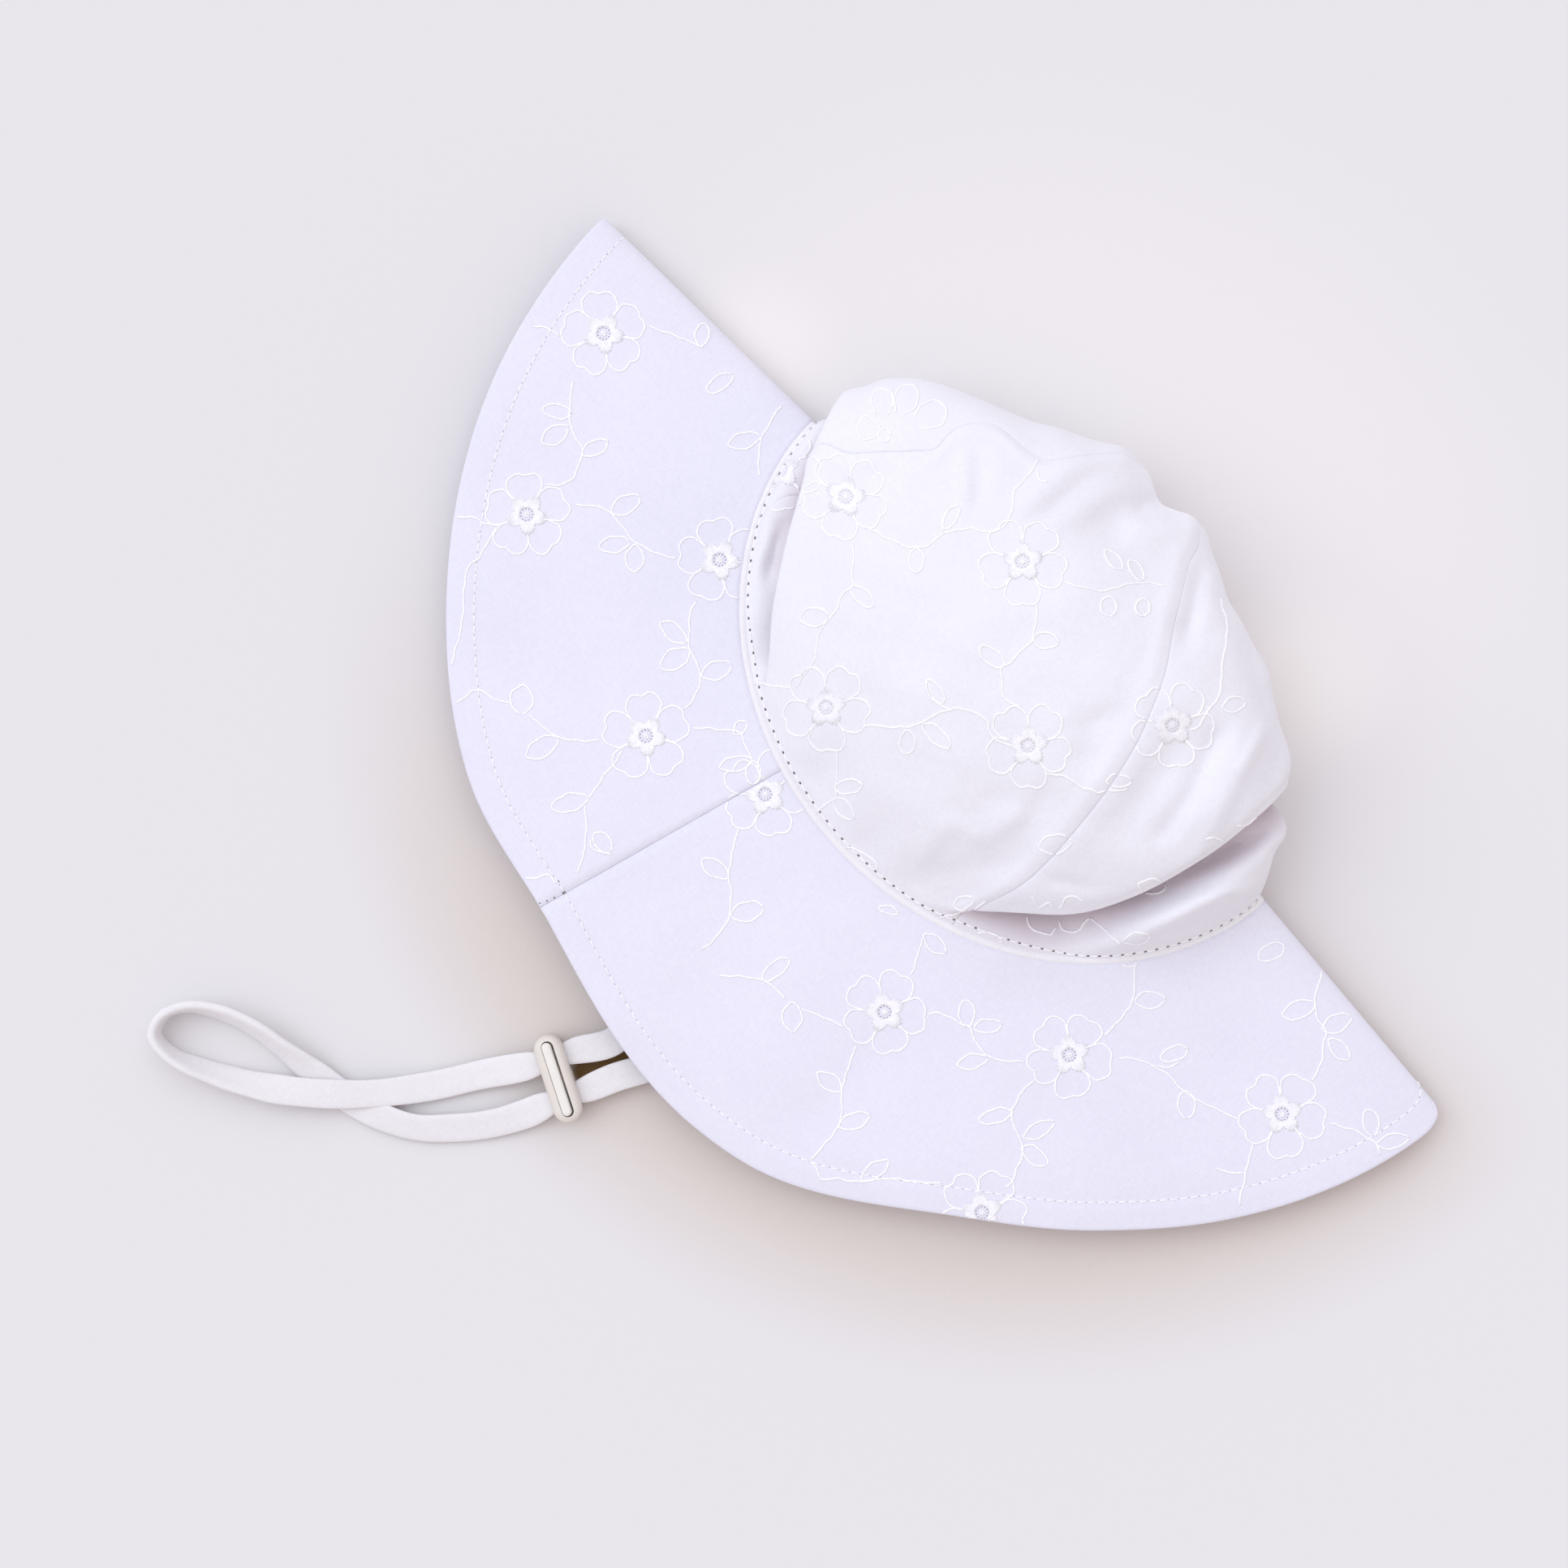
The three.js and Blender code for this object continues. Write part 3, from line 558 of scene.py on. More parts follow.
def clothWall(points, normals, cells, thickness, edgeRound, overlap=0.05, arcSteps=4):
    half, count = thickness / 2, len(points)
    bulge = np.broadcast_to(edgeRound, count)[:, None] * half
    starts = np.concatenate([f.ravel() for f in cells]).astype(np.int64)
    ends = np.concatenate([np.roll(f, -1, axis=1).ravel() for f in cells]).astype(np.int64)
    free = ~np.isin(starts * count + ends, ends * count + starts)
    edgeFrom, edgeTo = starts[free], ends[free]
    run = unit(points[edgeTo] - points[edgeFrom])
    edgeways = np.zeros_like(points)
    np.add.at(edgeways, edgeFrom, run)
    np.add.at(edgeways, edgeTo, run)
    rim = np.unique(np.concatenate([edgeFrom, edgeTo]))
    inward = np.zeros_like(points)
    inward[rim] = unit(np.cross(normals[rim], edgeways[rim]))
    drawn = points + inward * (bulge - overlap)
    used = np.unique(starts)
    place = np.full(count, -1)
    place[used] = np.arange(len(used))
    outer, inner = drawn[used] + normals[used] * half, drawn[used] - normals[used] * half
    rimPlace = np.full(count, -1)
    rimPlace[rim] = np.arange(len(rim))
    allPoints, levels = [outer, inner], [lambda v: place[v]]
    base = 2 * len(used)
    for k in range(1, arcSteps):
        angle = np.pi * k / arcSteps
        step = normals[rim] * half * np.cos(angle) - inward[rim] * bulge[rim] * np.sin(angle)
        allPoints.append(drawn[rim] + step)
        levels.append(lambda v, base=base: base + rimPlace[v])
        base += len(rim)
    levels.append(lambda v: len(used) + place[v])
    faces = [place[f] for f in cells] + [len(used) + place[f[:, ::-1]] for f in cells]
    for high, low in zip(levels, levels[1:]):
        faces.append(np.stack([high(edgeTo), high(edgeFrom), low(edgeFrom), low(edgeTo)], -1))
    return np.vstack(allPoints), faces, np.concatenate([used, used] + [rim] * (arcSteps - 1))


# The head opening lies as half an ellipse in each layer of the hat
head = {
    "halfWidth": 82.4, "depth": 68, "lift": 15, "foldZ": 6, "foldRound": 0.1, "tuckedIn": 0.75,
    "settleReach": 2.5, "softness": 0.6,  # of a fold's end, as shares of its roundness
}


def headRing(inset, floorZ):
    wide = head["halfWidth"] - inset
    return {"leftX": -wide, "leftY": 0, "rightX": wide, "rightY": 0, "midY": inset - head["depth"],
            "topZ": head["lift"], "endZ": head["foldZ"], "floorZ": floorZ, "round": head["foldRound"]}


def settled(away, roundness):
    return 1 - (1 - np.clip(away / (head["settleReach"] * roundness), 0, 1)) ** 3


def softSize(value, roundness):
    soft = head["softness"] * roundness
    return (np.hypot(value, soft) - soft) / (np.hypot(1, soft) - soft)


def ringPoint(ring, turn):
    across, lift = -np.cos(np.radians(turn)), np.sin(np.radians(turn))
    away = np.abs(lift)
    endY = lerp(ring["leftY"], ring["rightY"], (1 + across) / 2)
    flat = settled(away, ring["round"])
    x = (ring["leftX"] + ring["rightX"]) / 2 + (ring["rightX"] - ring["leftX"]) / 2 * across
    y = endY + (ring["midY"] - endY) * softSize(lift, ring["round"])
    topZ = lerp(ring["endZ"], ring["topZ"], (flat + away) / 2)
    z = np.where(lift > 0, topZ, lerp(ring["endZ"], ring["floorZ"], flat))
    return np.stack([x, y, z], -1)


# low soft waves that never repeat in a short run: their way along x and y, fineness, start and share
rippleWaves = [(0.8, 0.6, 1, 0, 1), (0.3, -0.95, 1.37, 1.2, 1), (1, 0.2, 1.9, 2.6, 0.7),
               (0.5, -0.85, 2.6, 0, 0.6)]


def ripple(x, y, size):
    total = 0
    for alongX, alongY, fineness, start, share in rippleWaves:
        total = total + share * np.sin((alongX * x + alongY * y) / size * fineness + start)
    return total / 3


# The crown: two side panels and the strip between them, slumped over the head opening
crown = {
    "wall": 1.2, "edgeRound": 0.25, "sharp": 60,
    "panelColumns": 96, "stripColumns": 60, "columnCrowding": 0.5,
    "foldRow": 0.2, "rowsBelow": 50, "rowsAbove": 120, "rowCrowding": 1.3, "settlings": 8,
    "lowerRows": 118, "lowerFrom": 204, "lowerTo": 296,  # the panel underneath
    "rings": {
        "up": [0, 0.15, 0.3, 0.45, 0.6, 0.75, 0.9, 1.0],
        "leftX": [None, -80.6, -78.2, -70, -58, -43, -27.5, -18],
        "leftY": [None, 9, 18, 26.5, 32.5, 39, 48, 51],
        "rightX": [None, 79.2, 74.5, 66.5, 55.5, 40, 22, 7],
        "rightY": [None, 6.5, 14.5, 23.5, 30.5, 37.5, 44, 49.5],
        "midY": [None, -50, -30, -9, 9, 27, 42, 48.5],
        "topZ": [None, 33, 46, 52.5, 53, 47, 36, 27],
        "endZ": [None, 11, 16, 19, 20, 20, 19, 18],
        "floorZ": [None, 0.6, 0.6, 0.6, 0.6, 0.6, 0.6, 7],
        "round": [None, 0.2, 0.3, 0.35, 0.38, 0.38, 0.38, 0.38],
    },
    "seams": {
        "up": [0, 0.2, 0.33, 0.5, 0.56, 0.64, 0.75, 0.87, 1],
        "left": [25.5, 22.5, 30, 34, 26.5, 22, 38, 30, 20],
        "right": [114, 118.2, 118.6, 118, 117.2, 116, 112, 110, 128],
    },
    "tucks": [
        # a tuck's shade and shadeEnd give the strength and reach of the painted shade under its fold
        {"turn": [-8, 0, 18, 30, 42, 52, 60], "under": [0.094, 0.1, 0.122, 0.115, 0.075, 0.02, -0.035],
         "shade": [0, 0.6, 0.7, 0.7, 0.7, 0.6, 0], "shadeEnd": [0.7, 0.7, 0.75, 0.8, 0.8, 0.8, 0.8],
         "fadeIn": 14, "fadeOut": 12, "lipAfter": 0.08, "width": 0.05, "deepest": 0.035, "lipWidth": 0.018,
         "depth": 14, "lip": -2, "sink": 8},
        {"turn": [106, 124, 132, 140, 149, 160, 175, 198],
         "under": [-0.05, -0.002, 0.03, 0.105, 0.215, 0.315, 0.375, 0.41],
         "shade": [0, 0.8, 0.9, 0.9, 0.9, 0.9, 0.8, 0],
         "shadeEnd": [1.3, 1.3, 1.2, 0.85, 0.5, 0.4, 0.36, 0.3],
         "fadeIn": 20, "fadeOut": 30, "lipAfter": 0.085, "width": 0.055, "deepest": 0.04, "lipWidth": 0.02,
         "depth": 16, "lip": 2.5, "sink": 11},
    ],
    "tuckStart": 0.05, "foldPast": 1.8, "shadeStart": 0.35, "shadeEdge": (-0.005, 0.015),
    "middle": (0, -8),
    "creaseFade": 0.3, "fineEdge": (-0.012, 0.004), "fineRise": 3,
    # from x, y to x, y, width, depth; a ridge has a depth under 0
    "creases": [
        (36.6, 13.6, 42, -15.6, 6, 3),
        (45.9, 25, 53.5, -4, 5, -2.5),
        (-30.5, 22, -23.6, 44, 6, -2),
        (-15, 28, -8, 47, 6, 2.5),
        (63, -34, 69, 1, 6, -3),
        (20, -60, 31, -38, 9, 2.5),
    ],
    # finer ones charted in pixels of the photograph: from, to, width, depth, height of the cloth, and whether
    # they lie above the folds, 1, or under them, 0
    "fineCreases": [
        (1372, 1158, 1478, 1104, 2.6, -4.4, 14, 0), (1478, 1104, 1564, 1090, 2.6, -3.6, 12, 0),
        (1392, 1106, 1510, 1042, 3.0, 2.4, 14, 0), (1470, 1060, 1566, 1018, 3.0, 4.0, 14, 0),
        (964, 652, 948, 715, 2.4, 3.5, 10, 0),
        (1545, 898, 1516, 950, 2.0, -1.6, 28, 1), (1516, 950, 1468, 1054, 2.0, -1.4, 30, 1),
        (1496, 900, 1462, 980, 3.2, 2.6, 34, 1), (1462, 980, 1424, 1034, 3.2, 2.4, 36, 1),
        (1578, 905, 1545, 985, 4.2, 2.2, 22, 1), (1251, 631, 1331, 566, 2.6, -1.0, 46, 1),
        (1278, 640, 1358, 575, 2.2, 0.6, 46, 1), (1304, 649, 1398, 589, 3.0, -1.1, 44, 1),
        (1400, 628, 1436, 608, 2.6, 1.7, 36, 1), (1393, 650, 1470, 653, 3.4, -1.6, 40, 1),
        (1480, 700, 1454, 795, 2.6, 1.9, 38, 1), (1502, 735, 1540, 832, 3.0, 1.2, 28, 1),
        (1440, 777, 1502, 785, 2.4, 1.0, 36, 1),
        (1530, 800, 1552, 880, 2.6, 1.2, 26, 1), (1365, 660, 1425, 708, 4.0, 0.8, 48, 1),
        (1349, 880, 1337, 945, 4.2, 1.2, 48, 1), (1290, 965, 1266, 1040, 3.6, 1.1, 46, 1),
        (1136, 1062, 1170, 1010, 2.4, -0.9, 42, 1), (1172, 1012, 1214, 1036, 2.4, -0.9, 44, 1),
        (1216, 1034, 1256, 1000, 2.4, -0.9, 44, 1), (1140, 1082, 1260, 1058, 3.4, 0.8, 40, 1),
        (1195, 1000, 1250, 975, 3.0, 0.5, 46, 1), (1000, 962, 1046, 938, 5.0, 1.3, 38, 1),
        (1287, 1080, 1344, 1093, 1.8, 1.1, 34, 1), (1064, 588, 1153, 556, 2.8, 0.9, 42, 1),
        (1188, 556, 1187, 630, 1.9, -0.7, 46, 1), (1212, 560, 1206, 625, 2.4, 0.6, 46, 1),
        (1295, 908, 1395, 870, 2.6, 0.3, 50, 1), (1215, 770, 1330, 735, 4.5, -0.6, 53, 1),
    ],
    # where the outline is pushed out to a corner, or in: pixel, height, reach and push
    "corners": [
        (1577, 1058, 14, 6, -2.4), (1562, 1090, 12, 4, -0.6), (1300, 542, 30, 5, 0.8),
        (1384, 560, 28, 4.5, 1.6), (1437, 612, 26, 3.5, -1.6), (1473, 651, 26, 5, 1.8),
        (1514, 738, 22, 5, -1.0), (1557, 822, 20, 5, 1.4), (1578, 890, 18, 5, -0.8),
    ],
    "seamDip": 0.09, "seamDipWidth": 0.5, "seamStart": 0.03, "lowerSeam": 0.4,
    "panelRidge": 0.5, "stripRidge": 0.1, "ridgeAt": 3.2, "ridgeWidth": 2.3,
    "ripples": [(0.45, 5.2), (0.09, 1.7)],  # depth and size
    "pucker": 0.3, "puckerAt": 0.05, "puckerReach": 0.1,
    "puckerWaves": [(26, 0, 1), (41, 1, 0.6)],  # times round, start and share
}
for column, first in headRing(head["tuckedIn"], crown["wall"] / 2).items():
    crown["rings"][column][0] = first


# a crease is a soft trough of even depth between two points
def creaseAt(x, y, start, end, width):
    runX, runY = end[0] - start[0], end[1] - start[1]
    along = ((x - start[0]) * runX + (y - start[1]) * runY) / (runX ** 2 + runY ** 2)
    aside = ((x - start[0]) * runY - (y - start[1]) * runX) / math.hypot(runX, runY)
    fade = crown["creaseFade"]
    return ease(along, -fade, fade) * (1 - ease(along, 1 - fade, 1 + fade)) * bell(aside / width)


# how far up the crown its folds turn over, the whole way round
def foldUp(turn):
    left, right = crown["tucks"]
    past = [tuck["deepest"] + crown["foldPast"] * tuck["lipWidth"] for tuck in crown["tucks"]]
    table = {
        "turn": [*left["turn"], *right["turn"], left["turn"][0] + 360],
        "up": [u + past[0] for u in left["under"]] + [u + past[1] for u in right["under"]],
    }
    table["up"].append(table["up"][0])
    return readTable(table, "turn", np.where(turn > table["turn"][-1], turn - 360, turn), "up")


# turns counted from the middle of the lower layer, so that the left tuck runs on through the crown's end
def turnFromUnder(turn):
    return np.where(turn > 270, turn - 360, turn)


def tuckStrength(tuck, turn):
    first, last = tuck["turn"][0], tuck["turn"][-1]
    return ease(turn, first, first + tuck["fadeIn"]) * (1 - ease(turn, last - tuck["fadeOut"], last))


def crownPoint(turn, up):
    ring = {c: readTable(crown["rings"], "up", up, c) for c in crown["rings"] if c != "up"}
    p = ringPoint(ring, turn)
    inward = unit(np.array(crown["middle"]) - p[..., :2])
    place = turnFromUnder(turn)
    begun = ease(up, 0, crown["tuckStart"])
    for tuck in crown["tucks"]:
        strength = tuckStrength(tuck, place)
        under = readTable(tuck, "turn", place, "under")
        past = up - under - tuck["deepest"]  # the cloth turns back sharply under the lip
        pressed = strength * bell(past / np.where(past > 0, tuck["lipWidth"], tuck["width"])) * begun
        lipped = strength * bell((up - under - tuck["lipAfter"]) / tuck["width"])
        p[..., :2] += inward * (tuck["depth"] * pressed + tuck["lip"] * lipped)[..., None]
        p[..., 2] -= tuck["sink"] * pressed
    lift = np.maximum(np.sin(np.radians(turn)), 0)
    x, y = p[..., 0].copy(), p[..., 1].copy()
    for fromX, fromY, toX, toY, width, depth in crown["creases"]:
        p[..., 2] -= depth * creaseAt(x, y, (fromX, fromY), (toX, toY), width) * lift * begun
    for pixelX, pixelY, height, reach, push in crown["corners"]:
        spot = pixelSpots([(pixelX, pixelY)], height)[0]
        p[..., :2] -= inward * (push * bell(np.hypot(x - spot[0], y - spot[1]) / reach))[..., None]
    above = ease(up - foldUp(turn), *crown["fineEdge"])
    shown = np.minimum(crown["fineRise"] * lift, 1)
    for fromX, fromY, toX, toY, width, depth, height, isAbove in crown["fineCreases"]:
        ends = pixelSpots([(fromX, fromY), (toX, toY)], height)
        layer = above if isAbove else 1 - above
        p[..., 2] -= depth * creaseAt(x, y, *ends, width) * layer * shown * begun
    p[..., 2] += sum(depth * ripple(x, y, size) for depth, size in crown["ripples"]) * lift * begun
    angle = np.radians(turn)
    pucker = sum(share * np.sin(angle * times + start) for times, start, share in crown["puckerWaves"])
    nearSeam = bell((up - crown["puckerAt"]) / crown["puckerReach"])
    p[..., 2] += crown["pucker"] * pucker * lift * nearSeam * begun
    p[..., 2] = np.maximum(p[..., 2], crown["wall"] / 2)
    return p


def makeCrown():
    counts = [crown["panelColumns"], crown["stripColumns"]] * 2
    around, rows = sum(counts), crown["rowsBelow"] + crown["rowsAbove"]
    # rows crowd towards the folds, and columns towards the seams
    low = 1 - (1 - np.arange(crown["rowsBelow"]) / crown["rowsBelow"]) ** crown["rowCrowding"]
    high = (np.arange(crown["rowsAbove"] + 1) / crown["rowsAbove"]) ** crown["rowCrowding"]
    parts = [np.arange(count) / count for count in counts]
    parts = [t - crown["columnCrowding"] * np.sin(2 * np.pi * t) / (2 * np.pi) for t in parts]
    up = np.broadcast_to(np.concatenate([low * crown["foldRow"], lerp(crown["foldRow"], 1, high)])[:, None],
                         (rows + 1, around))
    for settling in range(crown["settlings"]):  # the seams wander with the height, the rows with the turn
        turns, start = [], 0
        for s, t in enumerate(parts):
            here = up[:, start:start + len(t)]
            left, right = (readTable(crown["seams"], "up", here, side) for side in ("left", "right"))
            marks = [left, right, crown["lowerFrom"], crown["lowerTo"], left + 360]
            turns.append(np.broadcast_to(lerp(marks[s], marks[s + 1], t), here.shape))
            start += len(t)
        turns = np.hstack(turns) % 360
        fold = foldUp(turns)
        up = np.vstack([fold[:len(low)] * low[:, None], lerp(fold[len(low):], 1, high[:, None])])
    grid = crownPoint(turns, up)
    # cells of the sheet, and their owners
    j, i = np.meshgrid(np.arange(rows), np.arange(around), indexing="ij")
    nextI = (i + 1) % around
    cells = np.stack([j * around + i, j * around + nextI, (j + 1) * around + nextI, (j + 1) * around + i], -1)
    below = i - counts[0] - counts[1]
    upper = i < counts[0]
    under = (below >= 0) & (below < counts[2]) & (j < crown["lowerRows"])
    first, half = rows * around, around // 2
    leftEnd = around - counts[3] // 2
    at = lambda step: first + (leftEnd + step + around) % around
    capQuads = np.array([[at(k), at(k + 1), at(-k - 1), at(-k)] for k in range(1, half - 1)])
    capTris = np.array([[at(0), at(1), at(-1)], [at(half - 1), at(half), at(1 - half)]])
    sheet = grid.reshape(-1, 3)
    whole = [cells.reshape(-1, 4), capQuads, capTris]
    normals = sheetNormals(sheet, whole).reshape(grid.shape)
    # each seam sinks a little, with the turned-in edge standing up beside it
    shift = np.zeros(turns.shape)
    start = 0
    for s, count in enumerate(counts):
        columns = (start + np.arange(count + 1)) % around
        steps = np.linalg.norm(np.diff(grid[:, columns], axis=1), axis=2)
        run = np.hstack([np.zeros((rows + 1, 1)), np.cumsum(steps, axis=1)])
        ridge = crown["panelRidge"] if s % 2 == 0 else crown["stripRidge"]
        for away, mark in ((run, s), (run[:, -1:] - run, s + 1)):
            seamed = np.ones(rows + 1)
            if mark in (2, 3):
                seamed = (np.arange(rows + 1) <= crown["lowerRows"]) * crown["lowerSeam"]
            dip = -crown["seamDip"] * bell(away / crown["seamDipWidth"])
            rise = ridge * bell((away - crown["ridgeAt"]) / crown["ridgeWidth"])
            change = (dip + rise) * seamed[:, None] * ease(up[:, columns], 0, crown["seamStart"])
            own = columns[:-1] if mark == s else columns[1:-1]
            shift[:, own] += change[:, :-1] if mark == s else change[:, 1:-1]
        start += count
    grid = grid + normals * shift[..., None]
    grid[..., 2] = np.maximum(grid[..., 2], crown["wall"] / 2)
    sheet = grid.reshape(-1, 3)
    normals = sheetNormals(sheet, whole)
    # painted shade: the cloth's colour is darkened where it goes in under a fold
    place = turnFromUnder(turns)
    shade = np.zeros(turns.shape)
    for tuck in crown["tucks"]:
        end = readTable(tuck, "turn", place, "shadeEnd")
        fading = 1 - ease(1 - up / fold, crown["shadeStart"] * end, end)
        shade += readTable(tuck, "turn", place, "shade") * fading
    shade = (shade * ease(fold - up, *crown["shadeEdge"])).ravel()
    owners = {
        "crownSideLeft": ("crown_side_left", [cells[upper]]),
        "crownSideRight": ("crown_side_right", [cells[under]]),
        "crownCentre": ("crown_centre", [cells[~upper & ~under], capQuads, capTris]),
    }
    made = {}
    for name, (node, own) in owners.items():
        points, faces, source = clothWall(sheet, normals, own, crown["wall"], crown["edgeRound"])
        piece = makePiece(name, points, faces, finishes["crown"], "crown_cotton", sharp=crown["sharp"],
                          shade=shade[source])
        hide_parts(node)
        made[name] = {"piece": piece, "points": points, "faces": faces, "area": midArea(sheet, own)}
    return made, grid, normals.reshape(grid.shape)


crownPieces, crownGrid, crownNormals = makeCrown()
print("crown made:", {name: round(made["area"]) for name, made in crownPieces.items()}, "square mm")


# The brim: two halves of doubled cloth, joined by side seams, with a stitched hem
brim = {
    "wall": 1.8,
    "hemRound": 0.75, "seamRound": 0.3,
    "long": 130, "short": 95, "crowding": 1.5, "rows": 56, "seamTurn": 73,
    "edge": {
        "turn": [0, 16, 40, 58, 75, 100, 107, 127, 142, 154, 163, 170, 175, 178, 180],
        "reach": [157.4, 155.4, 150, 146.4, 139.4, 145.7, 146.5, 142, 145.6, 150.1, 153, 154.5, 155, 153.7,
                  150.5],
        "rise": [7, 7.5, 8.4, 9.3, 11, 9.6, 9.5, 11, 10.1, 8.6, 8.2, 7.9, 7.7, 7.6, 7.5],
    },
    "leftTip": {"y": -3, "round": 0.03},
    "rightTip": {"y": -3.5, "round": 0.12},
    "tipZ": 3.5, "underInset": 2.5,
    "hemAt": 7.4, "hemDip": 0.32, "hemDipWidth": 0.9, "hemPuff": 0.25, "curl": 1.6, "curlReach": 16,
    "rippleDepth": 0.35, "rippleSize": 9, "rippleStart": 0.2,
    # soft troughs of the upper layer: from and to in pixels of the photograph, width and depth
    "dents": [(985, 1405, 1110, 1270, 8, 0.9), (1240, 1215, 1330, 1235, 7, 0.5),
              (690, 560, 640, 760, 9, 0.5)],
    "dentHeight": 12,
}


def brimPoint(turn, out):
    angle = np.radians(turn)
    lift = np.sin(angle)
    isLeft = np.cos(angle) > 0
    tipY = np.where(isLeft, brim["leftTip"]["y"], brim["rightTip"]["y"])
    tipRound = np.where(isLeft, brim["leftTip"]["round"], brim["rightTip"]["round"])
    upper = np.degrees(np.arccos(np.clip(np.cos(angle), -1, 1)))
    flat = settled(np.abs(lift), tipRound)
    reach = readTable(brim["edge"], "turn", upper, "reach")
    reach = reach - np.where(lift < 0, brim["underInset"] * flat, 0)
    edgeZ = np.where(lift > 0, readTable(brim["edge"], "turn", upper, "rise"), brim["wall"] / 2)
    edge = np.stack([-reach * np.cos(angle), tipY - (reach + tipY) * softSize(lift, tipRound),
                     lerp(brim["tipZ"], edgeZ, flat)], -1)
    inner = ringPoint(headRing(-head["tuckedIn"], brim["wall"] / 2), turn)
    p = lerp(inner, edge, out[..., None])
    # hem, curl of the edge and slow waves of the upper layer
    away = (1 - out) * np.linalg.norm(edge - inner, axis=-1)
    aloft = np.maximum(lift, 0) ** 0.5
    hem = brim["hemPuff"] * (1 - ease(away, brim["hemAt"] - 1, brim["hemAt"] + 1))
    hem = hem - brim["hemDip"] * bell((away - brim["hemAt"]) / brim["hemDipWidth"])
    wave = brim["rippleDepth"] * ripple(p[..., 0], p[..., 1], brim["rippleSize"])
    wave = wave * ease(out, 0, brim["rippleStart"])
    curl = brim["curl"] * np.clip(1 - away / brim["curlReach"], 0, 1) ** 2
    for fromX, fromY, toX, toY, width, depth in brim["dents"]:
        ends = pixelSpots([(fromX, fromY), (toX, toY)], brim["dentHeight"])
        wave = wave - depth * creaseAt(p[..., 0], p[..., 1], *ends, width)
    p[..., 2] += (hem + wave - curl) * aloft
    return p


def brimTurns(fold):
    k = np.arange(-brim["long"], brim["short"] + 1)
    count = np.where(k < 0, brim["long"], brim["short"])
    reach = np.where(k < 0, brim["seamTurn"] - 180, brim["seamTurn"])
    return fold + reach * (np.abs(k) / count) ** brim["crowding"]


def makeBrim():
    made = {}
    for name, node, fold in (("brimFront", "brim_front", 180), ("brimBack", "brim_back", 360)):
        turns = brimTurns(fold)
        out = np.arange(brim["rows"] + 1) / brim["rows"]
        turnGrid, outGrid = np.meshgrid(turns, out, indexing="ij")
        grid = brimPoint(turnGrid, outGrid)
        tall = brim["rows"] + 1
        i, j = np.meshgrid(np.arange(len(turns) - 1), np.arange(brim["rows"]), indexing="ij")
        cells = np.stack([i * tall + j, i * tall + j + 1, (i + 1) * tall + j + 1, (i + 1) * tall + j], -1)
        cells = [cells.reshape(-1, 4)]
        sheet = grid.reshape(-1, 3)
        normals = sheetNormals(sheet, cells)
        rounding = np.where(outGrid == 1, brim["hemRound"], brim["seamRound"]).ravel()
        points, faces, _ = clothWall(sheet, normals, cells, brim["wall"], rounding)
        piece = makePiece(name, points, faces, finishes["brim"], "brim_cotton")
        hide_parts(node)
        made[name] = {"piece": piece, "points": points, "faces": faces, "area": midArea(sheet, cells),
                      "grid": grid, "normals": normals.reshape(grid.shape)}
    return made


brimPieces = makeBrim()
print("brim made:", {name: round(made["area"]) for name, made in brimPieces.items()}, "square mm")


# The welt: a narrow binding round the head seam
welt = {
    "radius": 1.2, "sides": 14, "step": 1.0, "fineSteps": 4000, "lift": 0.1,
    "uneven": 0.03, "unevenTurn": 0.7,
}


def makeWelt():
    turn = np.linspace(0, 360, welt["fineSteps"])
    ring = headRing(0, welt["radius"] + welt["lift"])
    line = evenSteps(ringPoint(ring, turn), welt["step"])[:-1]
    closed = np.vstack([line[-1:], line, line[:1]])
    tangent = unit(closed[2:] - closed[:-2])
    side = unit(np.cross(tangent, [0, 0, 1.0]))
    upward = np.cross(side, tangent)
    angle = fullTurn(welt["sides"])
    radius = welt["radius"] * (1 + welt["uneven"] * np.sin(np.arange(len(line)) * welt["unevenTurn"]))
    ringway = side[:, None] * np.cos(angle)[:, None] + upward[:, None] * np.sin(angle)[:, None]
    points = (line[:, None] + ringway * radius[:, None, None]).reshape(-1, 3)
    n, sides = len(line), welt["sides"]
    k, row = np.arange(sides), np.arange(n)[:, None] * sides
    nextRow = (row + sides) % (n * sides)
    quads = np.stack([row + k, nextRow + k, nextRow + (k + 1) % sides, row + (k + 1) % sides], -1)
    faces = [quads.reshape(-1, 4)]
    piece = makePiece("headWelt", points, faces, finishes["welt"], "welt_cotton")
    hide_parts("head_welt")
    return {"points": points, "faces": faces}


weltMade = makeWelt()
print("welt made")


# What the needlework lies on: one tree of all the cloth, and the piece that each face belongs to
def makeCarriers():
    carriers = {**crownPieces, **brimPieces, "headWelt": weltMade}
    points, polygons, owners, base = [], [], [], 0
    for name, made in carriers.items():
        points += [tuple(p) for p in made["points"].tolist()]
        for faces in made["faces"]:
            polygons += (np.asarray(faces) + base).tolist()
            owners += [name] * len(faces)
        base += len(made["points"])
    return BVHTree.FromPolygons(points, polygons), owners


clothTree, clothOwners = makeCarriers()


# the stretches of a line of rays that meet one piece of cloth after another: name, points and normals
def layOnCloth(origins, directions, longestJump=2.5):
    runs, current = [], None
    for origin, direction in zip(origins, directions):
        spot, normal, index, _ = clothTree.ray_cast(Vector(origin), Vector(direction))
        if spot is None or clothOwners[index] == "headWelt":
            current = None
            continue
        owner = clothOwners[index]
        if normal.dot(Vector(direction)) > 0:
            normal = -normal
        jumped = current and (current[0] != owner or (spot - current[1][-1]).length > longestJump)
        if current is None or jumped:
            current = (owner, [], [])
            runs.append(current)
        current[1].append(spot)
        current[2].append(normal)
    return [(name, np.array(p), np.array(n)) for name, p, n in runs if len(p) > 2]
